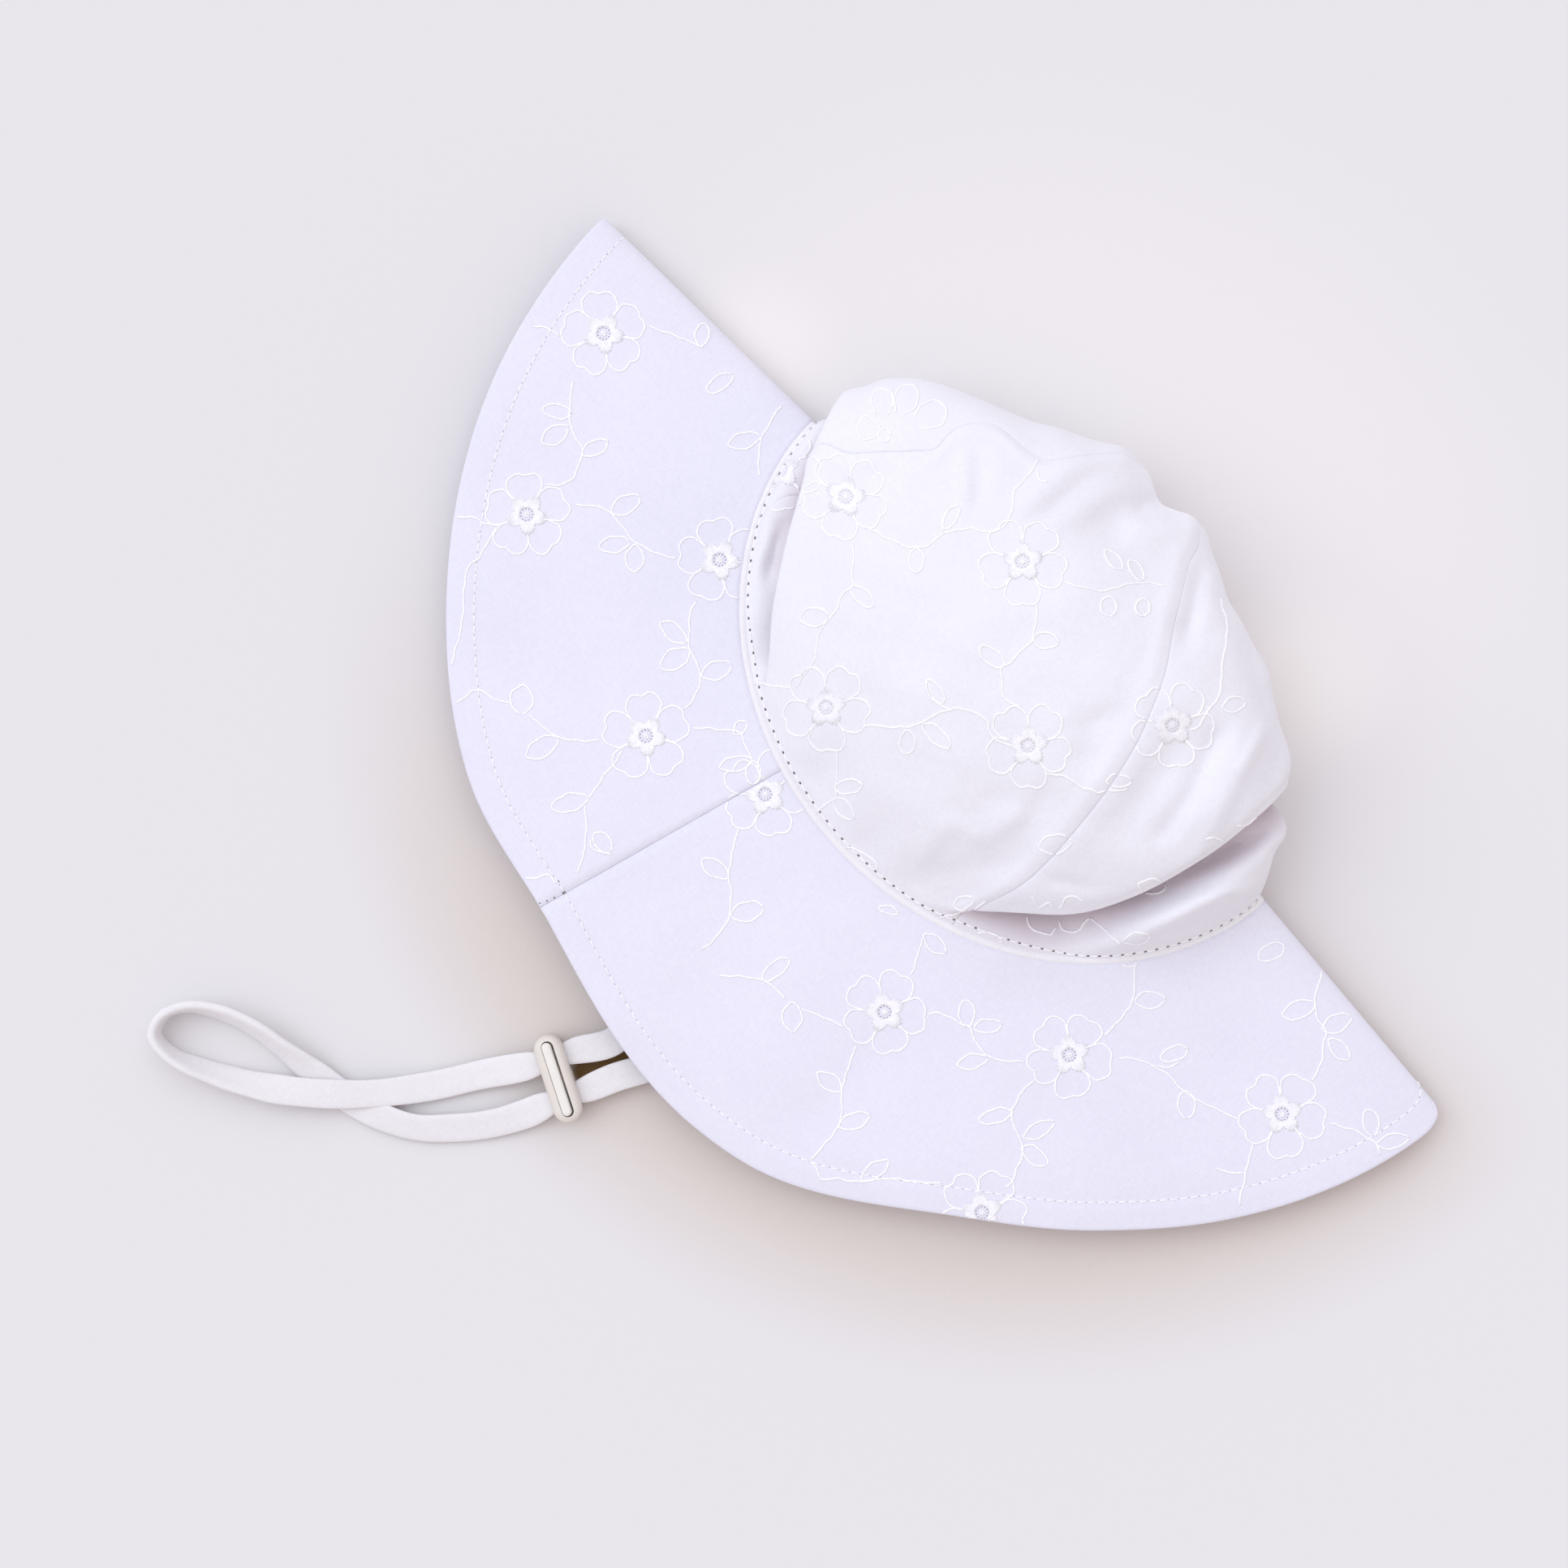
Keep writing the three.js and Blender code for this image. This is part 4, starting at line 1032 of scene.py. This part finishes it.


# Embroidery, charted in pixels of the photograph: flowers have a middle and a turn, leaves a middle,
# an angle, a length and a width, and stems their points. Angles run clockwise from the image's right.
brimChart = {
    "flowers": [(744, 411, -25), (649, 634, -22), (887, 690, -28), (796, 907, -24), (943, 979, 2),
                (1090, 1247, 7), (1318, 1300, 12), (1580, 1373, 12), (1210, 1494, 9)],
    "stems": [
        [(657, 402), (668, 403), (683, 408), (690, 415)],
        [(799, 402), (830, 413), (852, 422), (866, 428)],
        [(963, 499), (953, 514), (942, 533), (936, 549), (935, 587)],
        [(707, 470), (703, 490), (702, 510), (703, 525), (710, 540), (717, 552), (716, 565), (712, 577),
         (705, 590), (692, 597), (672, 597)],
        [(563, 637), (577, 637), (590, 640), (598, 645), (615, 647)],
        [(612, 650), (600, 670), (592, 685), (580, 695), (575, 705), (572, 725), (571, 750), (568, 775),
         (563, 795), (556, 820)],
        [(710, 622), (725, 623), (740, 625), (752, 632), (768, 650), (776, 662), (790, 672), (805, 680),
         (820, 685), (833, 688)],
        [(857, 740), (851, 755), (849, 775), (850, 800), (860, 820), (863, 835), (857, 857), (843, 875)],
        [(738, 912), (720, 913), (700, 911), (685, 907), (663, 890), (652, 880)],
        [(632, 866), (610, 862), (597, 853), (583, 850), (575, 858), (563, 866)],
        [(768, 925), (757, 940), (745, 955), (735, 970), (725, 983)],
        [(855, 897), (870, 897), (885, 899), (912, 903), (918, 918), (928, 938)],
        [(910, 1020), (906, 1033), (903, 1049), (899, 1068), (898, 1081), (901, 1101), (900, 1120),
         (896, 1136), (887, 1149), (877, 1160), (866, 1170)],
        [(1136, 1156), (1132, 1174), (1128, 1186), (1122, 1202)],
        [(1398, 1186), (1398, 1205), (1397, 1222), (1395, 1235), (1383, 1252), (1371, 1266),
         (1360, 1276)],
        [(885, 1202), (910, 1203), (937, 1207), (951, 1214), (967, 1230)],
        [(988, 1242), (1003, 1249), (1019, 1255), (1040, 1265)],
        [(1056, 1289), (1049, 1302), (1045, 1318), (1038, 1337), (1037, 1351), (1037, 1367), (1034, 1386),
         (1024, 1400), (1011, 1416), (998, 1429)],
        [(998, 1429), (1005, 1438), (1012, 1452), (1033, 1452), (1054, 1456), (1074, 1454), (1100, 1452),
         (1130, 1456), (1160, 1458)],
        [(1142, 1249), (1157, 1248), (1170, 1253), (1183, 1261), (1195, 1265), (1200, 1280), (1210, 1294),
         (1217, 1300), (1226, 1305), (1240, 1307), (1262, 1308)],
        [(1273, 1331), (1262, 1342), (1254, 1354), (1247, 1368), (1250, 1390), (1258, 1405), (1260, 1414),
         (1258, 1428), (1252, 1442), (1247, 1455), (1239, 1463)],
        [(1378, 1304), (1395, 1304), (1412, 1309), (1425, 1315), (1436, 1322), (1446, 1330), (1454, 1341),
         (1466, 1349), (1477, 1356), (1496, 1365), (1511, 1372), (1526, 1380)],
        [(1425, 1314), (1442, 1314), (1453, 1309)],
        [(1545, 1409), (1540, 1423), (1536, 1439), (1533, 1455), (1529, 1469), (1528, 1485)],
        [(1499, 1440), (1513, 1444), (1534, 1446)],
        [(1628, 1196), (1626, 1208), (1622, 1222), (1619, 1234), (1621, 1244), (1624, 1256), (1634, 1273),
         (1630, 1287), (1629, 1304), (1626, 1315), (1620, 1325), (1616, 1332)],
        [(1637, 1383), (1650, 1387), (1664, 1391), (1676, 1396), (1685, 1402), (1695, 1409),
         (1700, 1423)],
        [(727, 1035), (729, 1043), (740, 1050), (754, 1052)],
        [(721, 992), (722, 1010), (722, 1030), (719, 1052), (712, 1076)],
        [(648, 1083), (662, 1081), (676, 1078), (686, 1088)],
    ],
    "leaves": [
        (865, 413, 100, 28, 18), (887, 472, -35, 38, 18), (917, 543, -15, 40, 20), (687, 507, 10, 36, 18),
        (684, 536, -30, 38, 22), (733, 552, -25, 36, 18), (771, 622, -30, 40, 22),
        (757, 671, -10, 38, 20), (782, 688, 90, 34, 22), (830, 779, 40, 40, 20), (832, 812, -30, 42, 24),
        (883, 826, -20, 40, 22), (643, 862, 90, 36, 28), (668, 921, -32, 44, 24), (702, 989, -15, 46, 22),
        (912, 897, -45, 22, 14), (907, 941, -10, 42, 18), (928, 952, 90, 30, 18),
        (921, 1123, -15, 42, 24), (956, 1194, -40, 42, 18), (1095, 1121, 15, 24, 10),
        (1152, 1163, 40, 36, 18), (1388, 1184, 20, 26, 12), (1417, 1232, 0, 38, 21),
        (1566, 1173, -24, 36, 20), (881, 1070, 33, 40, 20), (976, 1253, 88, 37, 24),
        (1022, 1333, 35, 36, 20), (1053, 1381, -18, 40, 20), (1078, 1442, -35, 42, 18),
        (1191, 1249, 90, 34, 20), (1217, 1264, -5, 34, 17), (1198, 1308, -15, 38, 18),
        (1227, 1375, -16, 42, 18), (1280, 1392, -28, 42, 18), (1275, 1424, 38, 38, 20),
        (1447, 1298, -18, 36, 18), (1462, 1361, 90, 34, 22), (1600, 1244, -22, 42, 22),
        (1647, 1261, -27, 38, 22), (1650, 1293, 45, 36, 18), (1716, 1406, -12, 40, 18),
        (1689, 1383, 80, 34, 20), (743, 1038, 50, 30, 20),
    ],
}
crownChart = {
    "flowers": [(1042, 612, -41), (1260, 692, 18), (1018, 872, 16), (1267, 919, 18), (1445, 894, 12),
                (961, 578, 10)],
    "stems": [
        [(1069, 650), (1084, 658), (1100, 666), (1119, 674), (1135, 674), (1149, 669), (1160, 658),
         (1176, 654), (1195, 651), (1209, 654), (1225, 655), (1234, 650), (1242, 642), (1247, 625),
         (1250, 604), (1258, 595), (1272, 579), (1279, 565)],
        [(1277, 579), (1280, 590), (1291, 594)],
        [(1161, 655), (1163, 642), (1165, 631)],
        [(1051, 669), (1052, 685), (1050, 702), (1050, 724), (1040, 729), (1032, 748), (1021, 764),
         (1010, 778), (1007, 795), (1002, 816), (994, 827), (980, 846)],
        [(918, 841), (943, 843), (959, 846), (975, 847)],
        [(1277, 743), (1277, 754), (1275, 775), (1269, 792), (1257, 803), (1242, 819), (1234, 822),
         (1234, 835), (1235, 851), (1239, 862), (1247, 867), (1258, 870)],
        [(1061, 897), (1068, 893), (1087, 895), (1109, 896), (1125, 894), (1136, 890), (1150, 882),
         (1166, 875), (1177, 873), (1194, 875), (1207, 881), (1217, 888), (1218, 900), (1232, 914),
         (1248, 919)],
        [(1142, 838), (1147, 850), (1151, 861), (1160, 870), (1172, 874)],
        [(1031, 926), (1032, 944), (1030, 965), (1030, 982), (1019, 989), (1011, 998), (1001, 1002)],
        [(1287, 951), (1301, 955), (1312, 956), (1323, 963), (1334, 970), (1345, 973), (1353, 977),
         (1364, 973), (1374, 975), (1391, 970)],
        [(1312, 718), (1345, 726), (1360, 728), (1390, 720), (1412, 718), (1436, 722)],
        [(1467, 900), (1478, 893), (1484, 882), (1500, 860), (1504, 849), (1505, 827), (1508, 805),
         (1512, 778), (1510, 762), (1503, 737)],
        [(1153, 1132), (1180, 1125), (1202, 1119), (1215, 1110)],
        [(1343, 1131), (1355, 1140), (1369, 1153), (1381, 1164)],
        [(1484, 1033), (1500, 1033), (1511, 1038)],
        [(1523, 1018), (1535, 1016), (1552, 1005)],
        [(1100, 481), (1101, 492), (1100, 503)],
        [(1080, 511), (1073, 494), (1081, 480), (1096, 482), (1100, 497), (1094, 511)],
        [(1104, 509), (1102, 491), (1110, 477), (1127, 476), (1132, 489), (1124, 505), (1112, 511)],
        [(1126, 513), (1136, 499), (1154, 494), (1166, 504), (1162, 521), (1146, 528), (1130, 526)],
        [(1079, 539), (1063, 541), (1056, 527), (1066, 513), (1078, 518), (1084, 529)],
        [(1098, 536), (1094, 544), (1086, 543), (1082, 535), (1088, 528), (1096, 530), (1098, 536)],
        [(1041, 1046), (1052, 1044), (1060, 1050), (1071, 1055), (1080, 1062), (1080, 1074)],
        [(1071, 1080), (1080, 1082), (1087, 1085)],
        [(1272, 1104), (1279, 1117), (1293, 1112), (1298, 1117)],
        [(1304, 1120), (1314, 1106), (1325, 1104), (1334, 1110)],
        [(1264, 1128), (1268, 1140), (1284, 1150), (1295, 1151), (1302, 1142)],
        [(1304, 1134), (1309, 1144), (1323, 1149), (1334, 1140), (1343, 1131)],
    ],
    "leaves": [
        (1172, 637, -57, 34, 15), (1129, 690, 92, 32, 18), (1063, 735, 42, 36, 18),
        (1003, 760, -3, 35, 23), (1222, 809, 40, 38, 19), (1288, 789, 10, 32, 20),
        (1152, 852, 55, 36, 16), (1154, 906, 42, 44, 19), (1118, 914, 95, 31, 19),
        (1046, 969, -5, 34, 18), (1040, 996, 52, 34, 18), (986, 992, 45, 30, 15),
        (1187, 1112, -20, 26, 16), (1366, 747, 90, 25, 20), (1408, 748, 90, 22, 18),
        (1372, 690, 48, 32, 14), (1400, 703, 55, 30, 14), (1520, 868, -15, 30, 18),
        (1378, 962, 0, 30, 16), (1300, 1040, -10, 40, 24), (1218, 1156, 10, 34, 14),
        (1420, 1092, 5, 34, 19), (1401, 1156, -10, 34, 14),
    ],
}
needlework = {
    "threadRadius": 0.245, "threadLift": 0.08, "threadStep": 2.4, "sides": 6, "flatness": 0.8,
    "stitchLength": 1.5, "stitchSwell": 0.14, "endSize": 0.45, "endReach": 0.8,
    "wander": 0.55, "wanderLengths": (5.3, 4.1, 2.9), "wanderTogether": 0.5, "wanderStart": 2.7,
    "satinRadius": 0.15, "satinLift": 0.05, "satinPad": 0.05, "satinStitches": 88, "satinPoints": 6,
    "satinInner": 8.8, "satinWaist": 15.5, "satinReach": 25.5, "satinFullness": 0.6,
    "satinUneven": 0.9, "satinUnevenTurn": 2.4,
    # a small knot fills the eyelet
    "knotStitches": 3, "knotReach": 4.2, "knotLift": 0.05, "knotRadius": 0.24,
    "eyeletRing": 7.2, "eyeletHoles": 11, "holeRadius": 0.18,
    "petals": 5, "petalUneven": 0.035, "petalStart": 2.1,
    "petalTurn": [-35.5, -35, -31, -22, -12, -4, 0, 5, 13, 22, 31, 35, 35.5],
    "petalReach": [24, 34, 43, 50, 53, 51, 49.5, 51.5, 53, 50, 43, 34, 24],
    "leafPoints": 21, "leafPointed": 0.35,
    "stemSpan": 8, "petalSpan": 4, "leafSpan": 2,  # points between those charted
    "farBelow": 50,  # where the mirrored chart's rays start, under the floor
}


def petalLine(middle, turn, wobble):
    angle = np.radians(np.array(needlework["petalTurn"]) + turn)
    reach = np.array(needlework["petalReach"]) * (1 + needlework["petalUneven"] * np.sin(angle * 3 + wobble))
    return np.array(middle) + np.stack([np.cos(angle), np.sin(angle)], -1) * reach[:, None]


def leafLine(x, y, angle, length, width):
    t = np.linspace(0, 2 * np.pi, needlework["leafPoints"])
    along = np.cos(t) * length / 2
    aside = np.sin(t) * np.abs(np.sin(t)) ** needlework["leafPointed"] * width / 2
    c, s = math.cos(math.radians(angle)), math.sin(math.radians(angle))
    return np.stack([x + along * c - aside * s, y + along * s + aside * c], -1)


def chartLines(chart):
    s = needlework
    lines = [throughPoints(stem, s["stemSpan"]) for stem in chart["stems"]]
    for n, (x, y, turn) in enumerate(chart["flowers"]):
        for k in range(s["petals"]):
            petal = petalLine((x, y), turn + 360 / s["petals"] * k, n + s["petalStart"] * k)
            lines.append(throughPoints(petal, s["petalSpan"]))
    lines += [throughPoints(leafLine(*leaf), s["leafSpan"]) for leaf in chart["leaves"]]
    wandered = []
    wide, tall, both = s["wanderLengths"]
    for n, line in enumerate(lines):
        line = evenSteps(line, s["threadStep"])
        run = np.arange(len(line)) * s["threadStep"]
        sway = np.stack([np.sin(run / wide + n), np.cos(run / tall + s["wanderStart"] * n)], -1)
        sway = sway + s["wanderTogether"] * np.sin(run / both + n)[:, None]
        wandered.append(line + s["wander"] * sway)
    return wandered


# the photograph's rays from above, or the same chart mirrored and seen from under the hat
def raysFromAbove(pixels):
    return np.broadcast_to(eye, (len(pixels), 3)), pixelRay(pixels)


def raysFromBelow(pixels):
    ray = pixelRay(pixels)
    spots = eye + ray * (view["height"] / -ray[:, 2:])
    below = spots * [-1, 1, 0] - [0, 0, needlework["farBelow"]]
    return below, np.broadcast_to([0.0, 0.0, 1.0], below.shape)


def threadStrand(points, normals):
    run = runLength(points)
    swell = 1 + needlework["stitchSwell"] * np.cos(2 * np.pi * run / needlework["stitchLength"])
    fromEnd = np.minimum(run, run[-1] - run)
    ends = np.minimum(1, needlework["endSize"] + fromEnd / needlework["endReach"])
    return points + normals * needlework["threadLift"], normals, needlework["threadRadius"] * swell * ends


def satinStrands(middle, turn, rays):
    strands, s = [], needlework
    angles = fullTurn(s["satinStitches"])
    lobes = 0.5 + 0.5 * np.cos(s["petals"] * (angles - math.radians(turn + 180 / s["petals"])))
    for n, (angle, lobe) in enumerate(zip(angles, lobes)):
        reach = lerp(s["satinWaist"], s["satinReach"], lobe ** s["satinFullness"])
        reach = reach + s["satinUneven"] * math.sin(n * s["satinUnevenTurn"] + turn)
        radii = np.linspace(s["satinInner"], reach, s["satinPoints"])
        pixels = np.array(middle) + radii[:, None] * [math.cos(angle), math.sin(angle)]
        for name, points, normals in layOnCloth(*rays(pixels)):
            pad = np.sin(np.linspace(0, np.pi, len(points))) * s["satinPad"] + s["satinLift"]
            strands.append((name, (points + normals * pad[:, None], normals, s["satinRadius"])))
    for k in range(s["knotStitches"]):
        angle = math.radians(turn + 180 / s["knotStitches"] * k)
        radii = np.linspace(-s["knotReach"], s["knotReach"], s["satinPoints"])
        pixels = np.array(middle) + radii[:, None] * [math.cos(angle), math.sin(angle)]
        for name, points, normals in layOnCloth(*rays(pixels)):
            strands.append((name, (points + normals * s["knotLift"], normals, s["knotRadius"])))
    return strands


# a needle hole's painted shade: a shallow dark dimple, drawn as a low lens on the cloth
lens = {"sides": 8, "rimLift": 0.01, "topLift": 0.05, "bottomDrop": 0.1}


def lensMesh(spots, normals, ways, radii):
    sides = lens["sides"]
    angle = fullTurn(sides)[:, None]
    aside = unit(np.cross(normals, ways))
    along = np.cross(aside, normals)
    ring = along[:, None] * radii[0] * np.cos(angle) + aside[:, None] * radii[1] * np.sin(angle)
    rim = spots[:, None] + ring + normals[:, None] * lens["rimLift"]
    top, bottom = spots + normals * lens["topLift"], spots - normals * lens["bottomDrop"]
    points = np.concatenate([rim, top[:, None], bottom[:, None]], axis=1)
    base = np.arange(len(points))[:, None] * (sides + 2)
    here = base + np.arange(sides)
    after = base + (np.arange(sides) + 1) % sides
    high = np.stack([here, after, np.broadcast_to(base + sides, here.shape)], -1)
    low = np.stack([after, here, np.broadcast_to(base + sides + 1, here.shape)], -1)
    return points.reshape(-1, 3), [np.concatenate([high.reshape(-1, 3), low.reshape(-1, 3)])]


def embroider():
    strands = {name: [] for name in (*crownPieces, *brimPieces)}
    stars = {name: [] for name in strands}
    holes = {"crown": [], "brim": []}
    wanted = {"brim": set(brimPieces), "crown": set(crownPieces)}
    for rays in (raysFromAbove, raysFromBelow):
        for kind, chart in (("brim", brimChart), ("crown", crownChart)):
            for line in chartLines(chart):
                for name, points, normals in layOnCloth(*rays(line)):
                    if name in wanted[kind]:
                        strands[name].append(threadStrand(points, normals))
            for x, y, turn in chart["flowers"]:
                for name, strand in satinStrands((x, y), turn, rays):
                    if name in wanted[kind]:
                        stars[name].append(strand)
                angle = fullTurn(needlework["eyeletHoles"])
                ring = np.stack([np.cos(angle), np.sin(angle)], -1) * needlework["eyeletRing"] + [x, y]
                for name, points, normals in layOnCloth(*rays(ring)):
                    if name in wanted[kind]:
                        holes[kind] += list(zip(points, normals))
    made = {name: [] for name in strands}
    for title, finish, group in (("embroidery", "thread", strands), ("star", "star", stars)):
        for name, own in group.items():
            if own:
                points, faces = strandMesh(own, needlework["sides"], needlework["flatness"])
                slot = "crown_cotton" if name in crownPieces else "brim_cotton"
                whole = title + name[0].upper() + name[1:]
                made[name].append(makePiece(whole, points, faces, finishes[finish], slot))
    eyelets = {}
    for kind, found in holes.items():
        spots, normals = (np.array(v) for v in zip(*found))
        ways = np.broadcast_to(imageRight, spots.shape)
        points, faces = lensMesh(spots, unit(normals), ways, [needlework["holeRadius"]] * 2)
        eyelets[kind] = makePiece(kind + "Eyelets", points, faces, finishes[kind + "Eyelet"],
                                  kind + "_cotton")
    return made, eyelets


embroidery, eyelets = embroider()
print("embroidery made:", {p.name: len(p.data.polygons) for own in embroidery.values() for p in own}, "faces")


# Topstitching: short stitches with a needle hole at each end, along a line of points on the cloth
topstitch = {
    "head": {"in": 1.45, "steepness": 0.3, "pitch": 2.9, "thread": 0.2, "hole": (0.44, 0.25)},
    "hem": {"in": 7.4, "steepness": 1.0, "pitch": 2.6, "thread": 0.17, "hole": (0.3, 0.15)},
    "sides": 6, "points": 7, "gap": 0.25, "dive": 0.16, "lower": 0.02, "holeReach": 0.3, "steepest": 0.45,
    # the knot that ends the side seam, in pixels of the photograph, with the radius of each of its parts
    "knot": [(695, 1100, 0.5), (688, 1086, 0.28), (683, 1106, 0.26), (674, 1110, 0.22), (665, 1113, 0.22)],
}


def sew(line, normals, settings):
    run, t = runLength(line), topstitch
    count = int(run[-1] / settings["pitch"])
    at = (np.arange(count + 1)) * run[-1] / count
    sink = t["dive"] * np.cos(np.linspace(-np.pi, np.pi, t["points"])) - t["lower"]
    strands = []
    for start, end in zip(at[:-1], at[1:]):
        where = np.linspace(start + t["gap"], end - t["gap"], t["points"])
        up = unit(readRun(where, run, normals))
        strands.append((readRun(where, run, line) + up * sink[:, None], up, settings["thread"]))
    ahead, behind = np.minimum(at + t["holeReach"], run[-1]), np.maximum(at - t["holeReach"], 0)
    ways = unit(readRun(ahead, run, line) - readRun(behind, run, line))
    return strands, (readRun(at, run, line), unit(readRun(at, run, normals)), ways)


# the line of points on a grid's outer face, a given way in from its first column, counting heights in part
def lineInside(grid, normals, settings, half):
    lines, away = [], settings["in"]
    for points, normal in zip(grid, normals):
        run = runLength(points * [1, 1, settings["steepness"]])
        lines.append([*readRun(away, run, points), *readRun(away, run, normal)])
    lines = np.array(lines)
    up = unit(lines[:, 3:])
    return lines[:, :3] + up * half, up


def makeTopstitch():
    line, normals = lineInside(crownGrid.transpose(1, 0, 2), crownNormals.transpose(1, 0, 2),
                               topstitch["head"], crown["wall"] / 2)
    line, normals = np.vstack([line, line[:1]]), np.vstack([normals, normals[:1]])
    strands, holes = sew(line, normals, topstitch["head"])
    points, faces = strandMesh(strands, topstitch["sides"])
    headStitches = makePiece("headStitches", points, faces, finishes["thread"], "crown_cotton")
    across, tall = topstitch["head"]["hole"]  # wider up a slope, so that a hole still shows from above
    tall = tall / np.clip(np.abs(holes[1][:, 2]), topstitch["steepest"], 1)
    points, faces = lensMesh(*holes, (across, tall[:, None, None]))
    headHoles = makePiece("headStitchHoles", points, faces, finishes["hole"], "crown_cotton")
    strands, found = [], []
    for made in brimPieces.values():
        line, normals = lineInside(made["grid"][:, ::-1], made["normals"][:, ::-1], topstitch["hem"],
                                   brim["wall"] / 2)
        own, holes = sew(line, normals, topstitch["hem"])
        strands += own
        found.append(holes)
    points, faces = strandMesh(strands, topstitch["sides"])
    hemStitches = makePiece("hemStitches", points, faces, finishes["thread"], "brim_cotton")
    points, faces = lensMesh(*(np.vstack(part) for part in zip(*found)), topstitch["hem"]["hole"])
    hemHoles = makePiece("hemStitchHoles", points, faces, finishes["hemHole"], "brim_cotton")
    parts, base = [], 0
    for x, y, radius in topstitch["knot"]:
        spot, normal, _, _ = clothTree.ray_cast(Vector(eye), Vector(pixelRay((x, y))))
        points, faces = lensMesh(np.array([spot]), np.array([normal]), imageRight[None], (radius, radius))
        parts.append((points, faces[0] + base))
        base += len(points)
    points, faces = (np.vstack(part) for part in zip(*parts))
    knot = makePiece("seamKnot", points, [faces], finishes["hole"], "brim_cotton")
    return [headStitches, headHoles], [hemStitches, hemHoles, knot]


headSewing, hemSewing = makeTopstitch()
print("topstitching made")


# Each sheet of cloth, and the size that it was cut to
cut = {
    "crownSideLeft": (0.175, 0.16), "crownSideRight": (0.17, 0.14), "crownCentre": (0.2, 0.3),
    "brimFront": (0.16, 0.33), "brimBack": (0.16, 0.33),
}
for name, made in {**crownPieces, **brimPieces}.items():
    goesWith = list(embroidery[name])
    if name == "crownCentre":
        goesWith += [*headSewing, eyelets["crown"]]
    if name == "brimFront":
        goesWith += [*hemSewing, eyelets["brim"]]
    area = min(made["area"] * mm * mm, cut[name][0] * cut[name][1])


# A pale floor with painted shade and light: a warm painted shadow below the brim, painted light above the
# hat, and a dark painted shadow between the strands behind the slider
floorLook = {
    "size": 4000, "drop": 0.45, "roughness": 0.9, "specular": 0.1,
    "paper": (rgb(0.742, 0.726, 0.727), rgb(0.752, 0.736, 0.737)), "paperScale": 0.8,
    # the warm tint is a painted shadow near the brim, and the pale one painted light above the hat
    # ranges in millimetres: from the hat's middle, along y, and down the image
    "shadowTint": rgb(0.69, 0.625, 0.58), "shadowReach": (189.0, 150.0), "shadowBelow": (25.0, -20.0),
    "shadowEven": 0.85, "shadowPaper": 0.3,
    "lower": (-60.0, 90.0),
    "pale": rgb(0.79, 0.763, 0.755), "paintedLightReach": (170.0, 90.0),
    # tint, how much of a spot is full, and the spots in pixels of the photograph with their reach; the pale
    # spots are painted light where the hat's shade falls, the dark ones a painted shadow between the strands
    "spots": [
        (rgb(0.85, 0.82, 0.795), 0.1, [(930, 445, 30.0), (1600, 840, 32.0)]),
        (rgb(0.2, 0.12, 0.05), 0.45,
         [(722, 1319, 5.0), (738, 1312, 5.0), (755, 1306, 5.0), (770, 1300, 5.0)]),
    ],
}


def floorWithPaintedShade(name):
    f, look, soft = Finish(name), floorLook, "SMOOTHSTEP"
    at = f.place()
    paper = f.noise(at, look["paperScale"], 3.0)
    colour = f.blend(paper, *look["paper"])
    away = f.vectors("LENGTH", at, output=1)
    near = f.between(away, *look["shadowReach"], soft)
    below = f.between(f.node("ShaderNodeSeparateXYZ", None, {0: at}, 1), *look["shadowBelow"], soft)
    lower = f.between(f.vectors("DOT_PRODUCT", at, tuple(imageDown), 1), *look["lower"], soft)
    uneven = look["shadowEven"] + look["shadowPaper"] * paper
    # painted shadow: warmer and darker near the brim, most below it
    colour = f.blend(near * below * lower * uneven, colour, look["shadowTint"])
    # painted light: paler near the hat's upper side
    colour = f.blend(f.between(away, *look["paintedLightReach"], soft) * (1 - lower), colour, look["pale"])
    # painted light and painted shadow spots
    for tint, full, spots in look["spots"]:
        for x, y, reach in spots:
            middle = (*pixelSpots([(x, y)], 0)[0].tolist(), 0)
            gap = f.vectors("DISTANCE", at, middle, 1)
            colour = f.blend(f.between(gap, reach, full * reach, soft), colour, tint)
    return f.close({"Base Color": colour, "Roughness": look["roughness"],
                    "Specular IOR Level": look["specular"]})


# Broad lamps at the left and the top of the photograph, and a bright room
stageSettings = {
    "room": (1.0, 0.932, 0.957), "roomStrength": 0.805,
    # each lamp's way to the light along the image's right, its top and the vertical
    "leftLamp": {"toLight": (-0.62, 0.2, 0.76), "spread": 50, "strength": 0.95, "colour": (0.75, 0.87, 1.0)},
    "topLamp": {"toLight": (0.1, 0.62, 0.77), "spread": 60, "strength": 0.6, "colour": (0.75, 0.87, 1.0)},
}


def makeStage():
    half, drop = floorLook["size"] / 2, -floorLook["drop"]
    corners = np.array([[-half, -half, drop], [half, -half, drop], [half, half, drop], [-half, half, drop]])
    floor = makePiece("floor", corners, [np.array([[0, 1, 2, 3]])], floorWithPaintedShade("floorWithPaintedShade"), None, False)
    for name in ("leftLamp", "topLamp"):
        s = stageSettings[name]
        lamp = bpy.data.lights.new(name, "SUN")
        lamp.energy, lamp.color, lamp.angle = s["strength"], s["colour"], math.radians(s["spread"])
        light = bpy.data.objects.new(name, lamp)
        along, above, height = s["toLight"]
        toLight = imageRight * along - imageDown * above + [0, 0, height]
        light.rotation_mode = "QUATERNION"
        light.rotation_quaternion = Vector(toLight).to_track_quat("Z", "Y")
        bpy.context.scene.collection.objects.link(light)
    room = bpy.data.worlds.new("room")
    room.use_nodes = True
    sky = room.node_tree.nodes["Background"]
    sky.inputs["Color"].default_value = rgb(*stageSettings["room"])
    sky.inputs["Strength"].default_value = stageSettings["roomStrength"]
    bpy.context.scene.world = room


makeStage()
print("stage set")
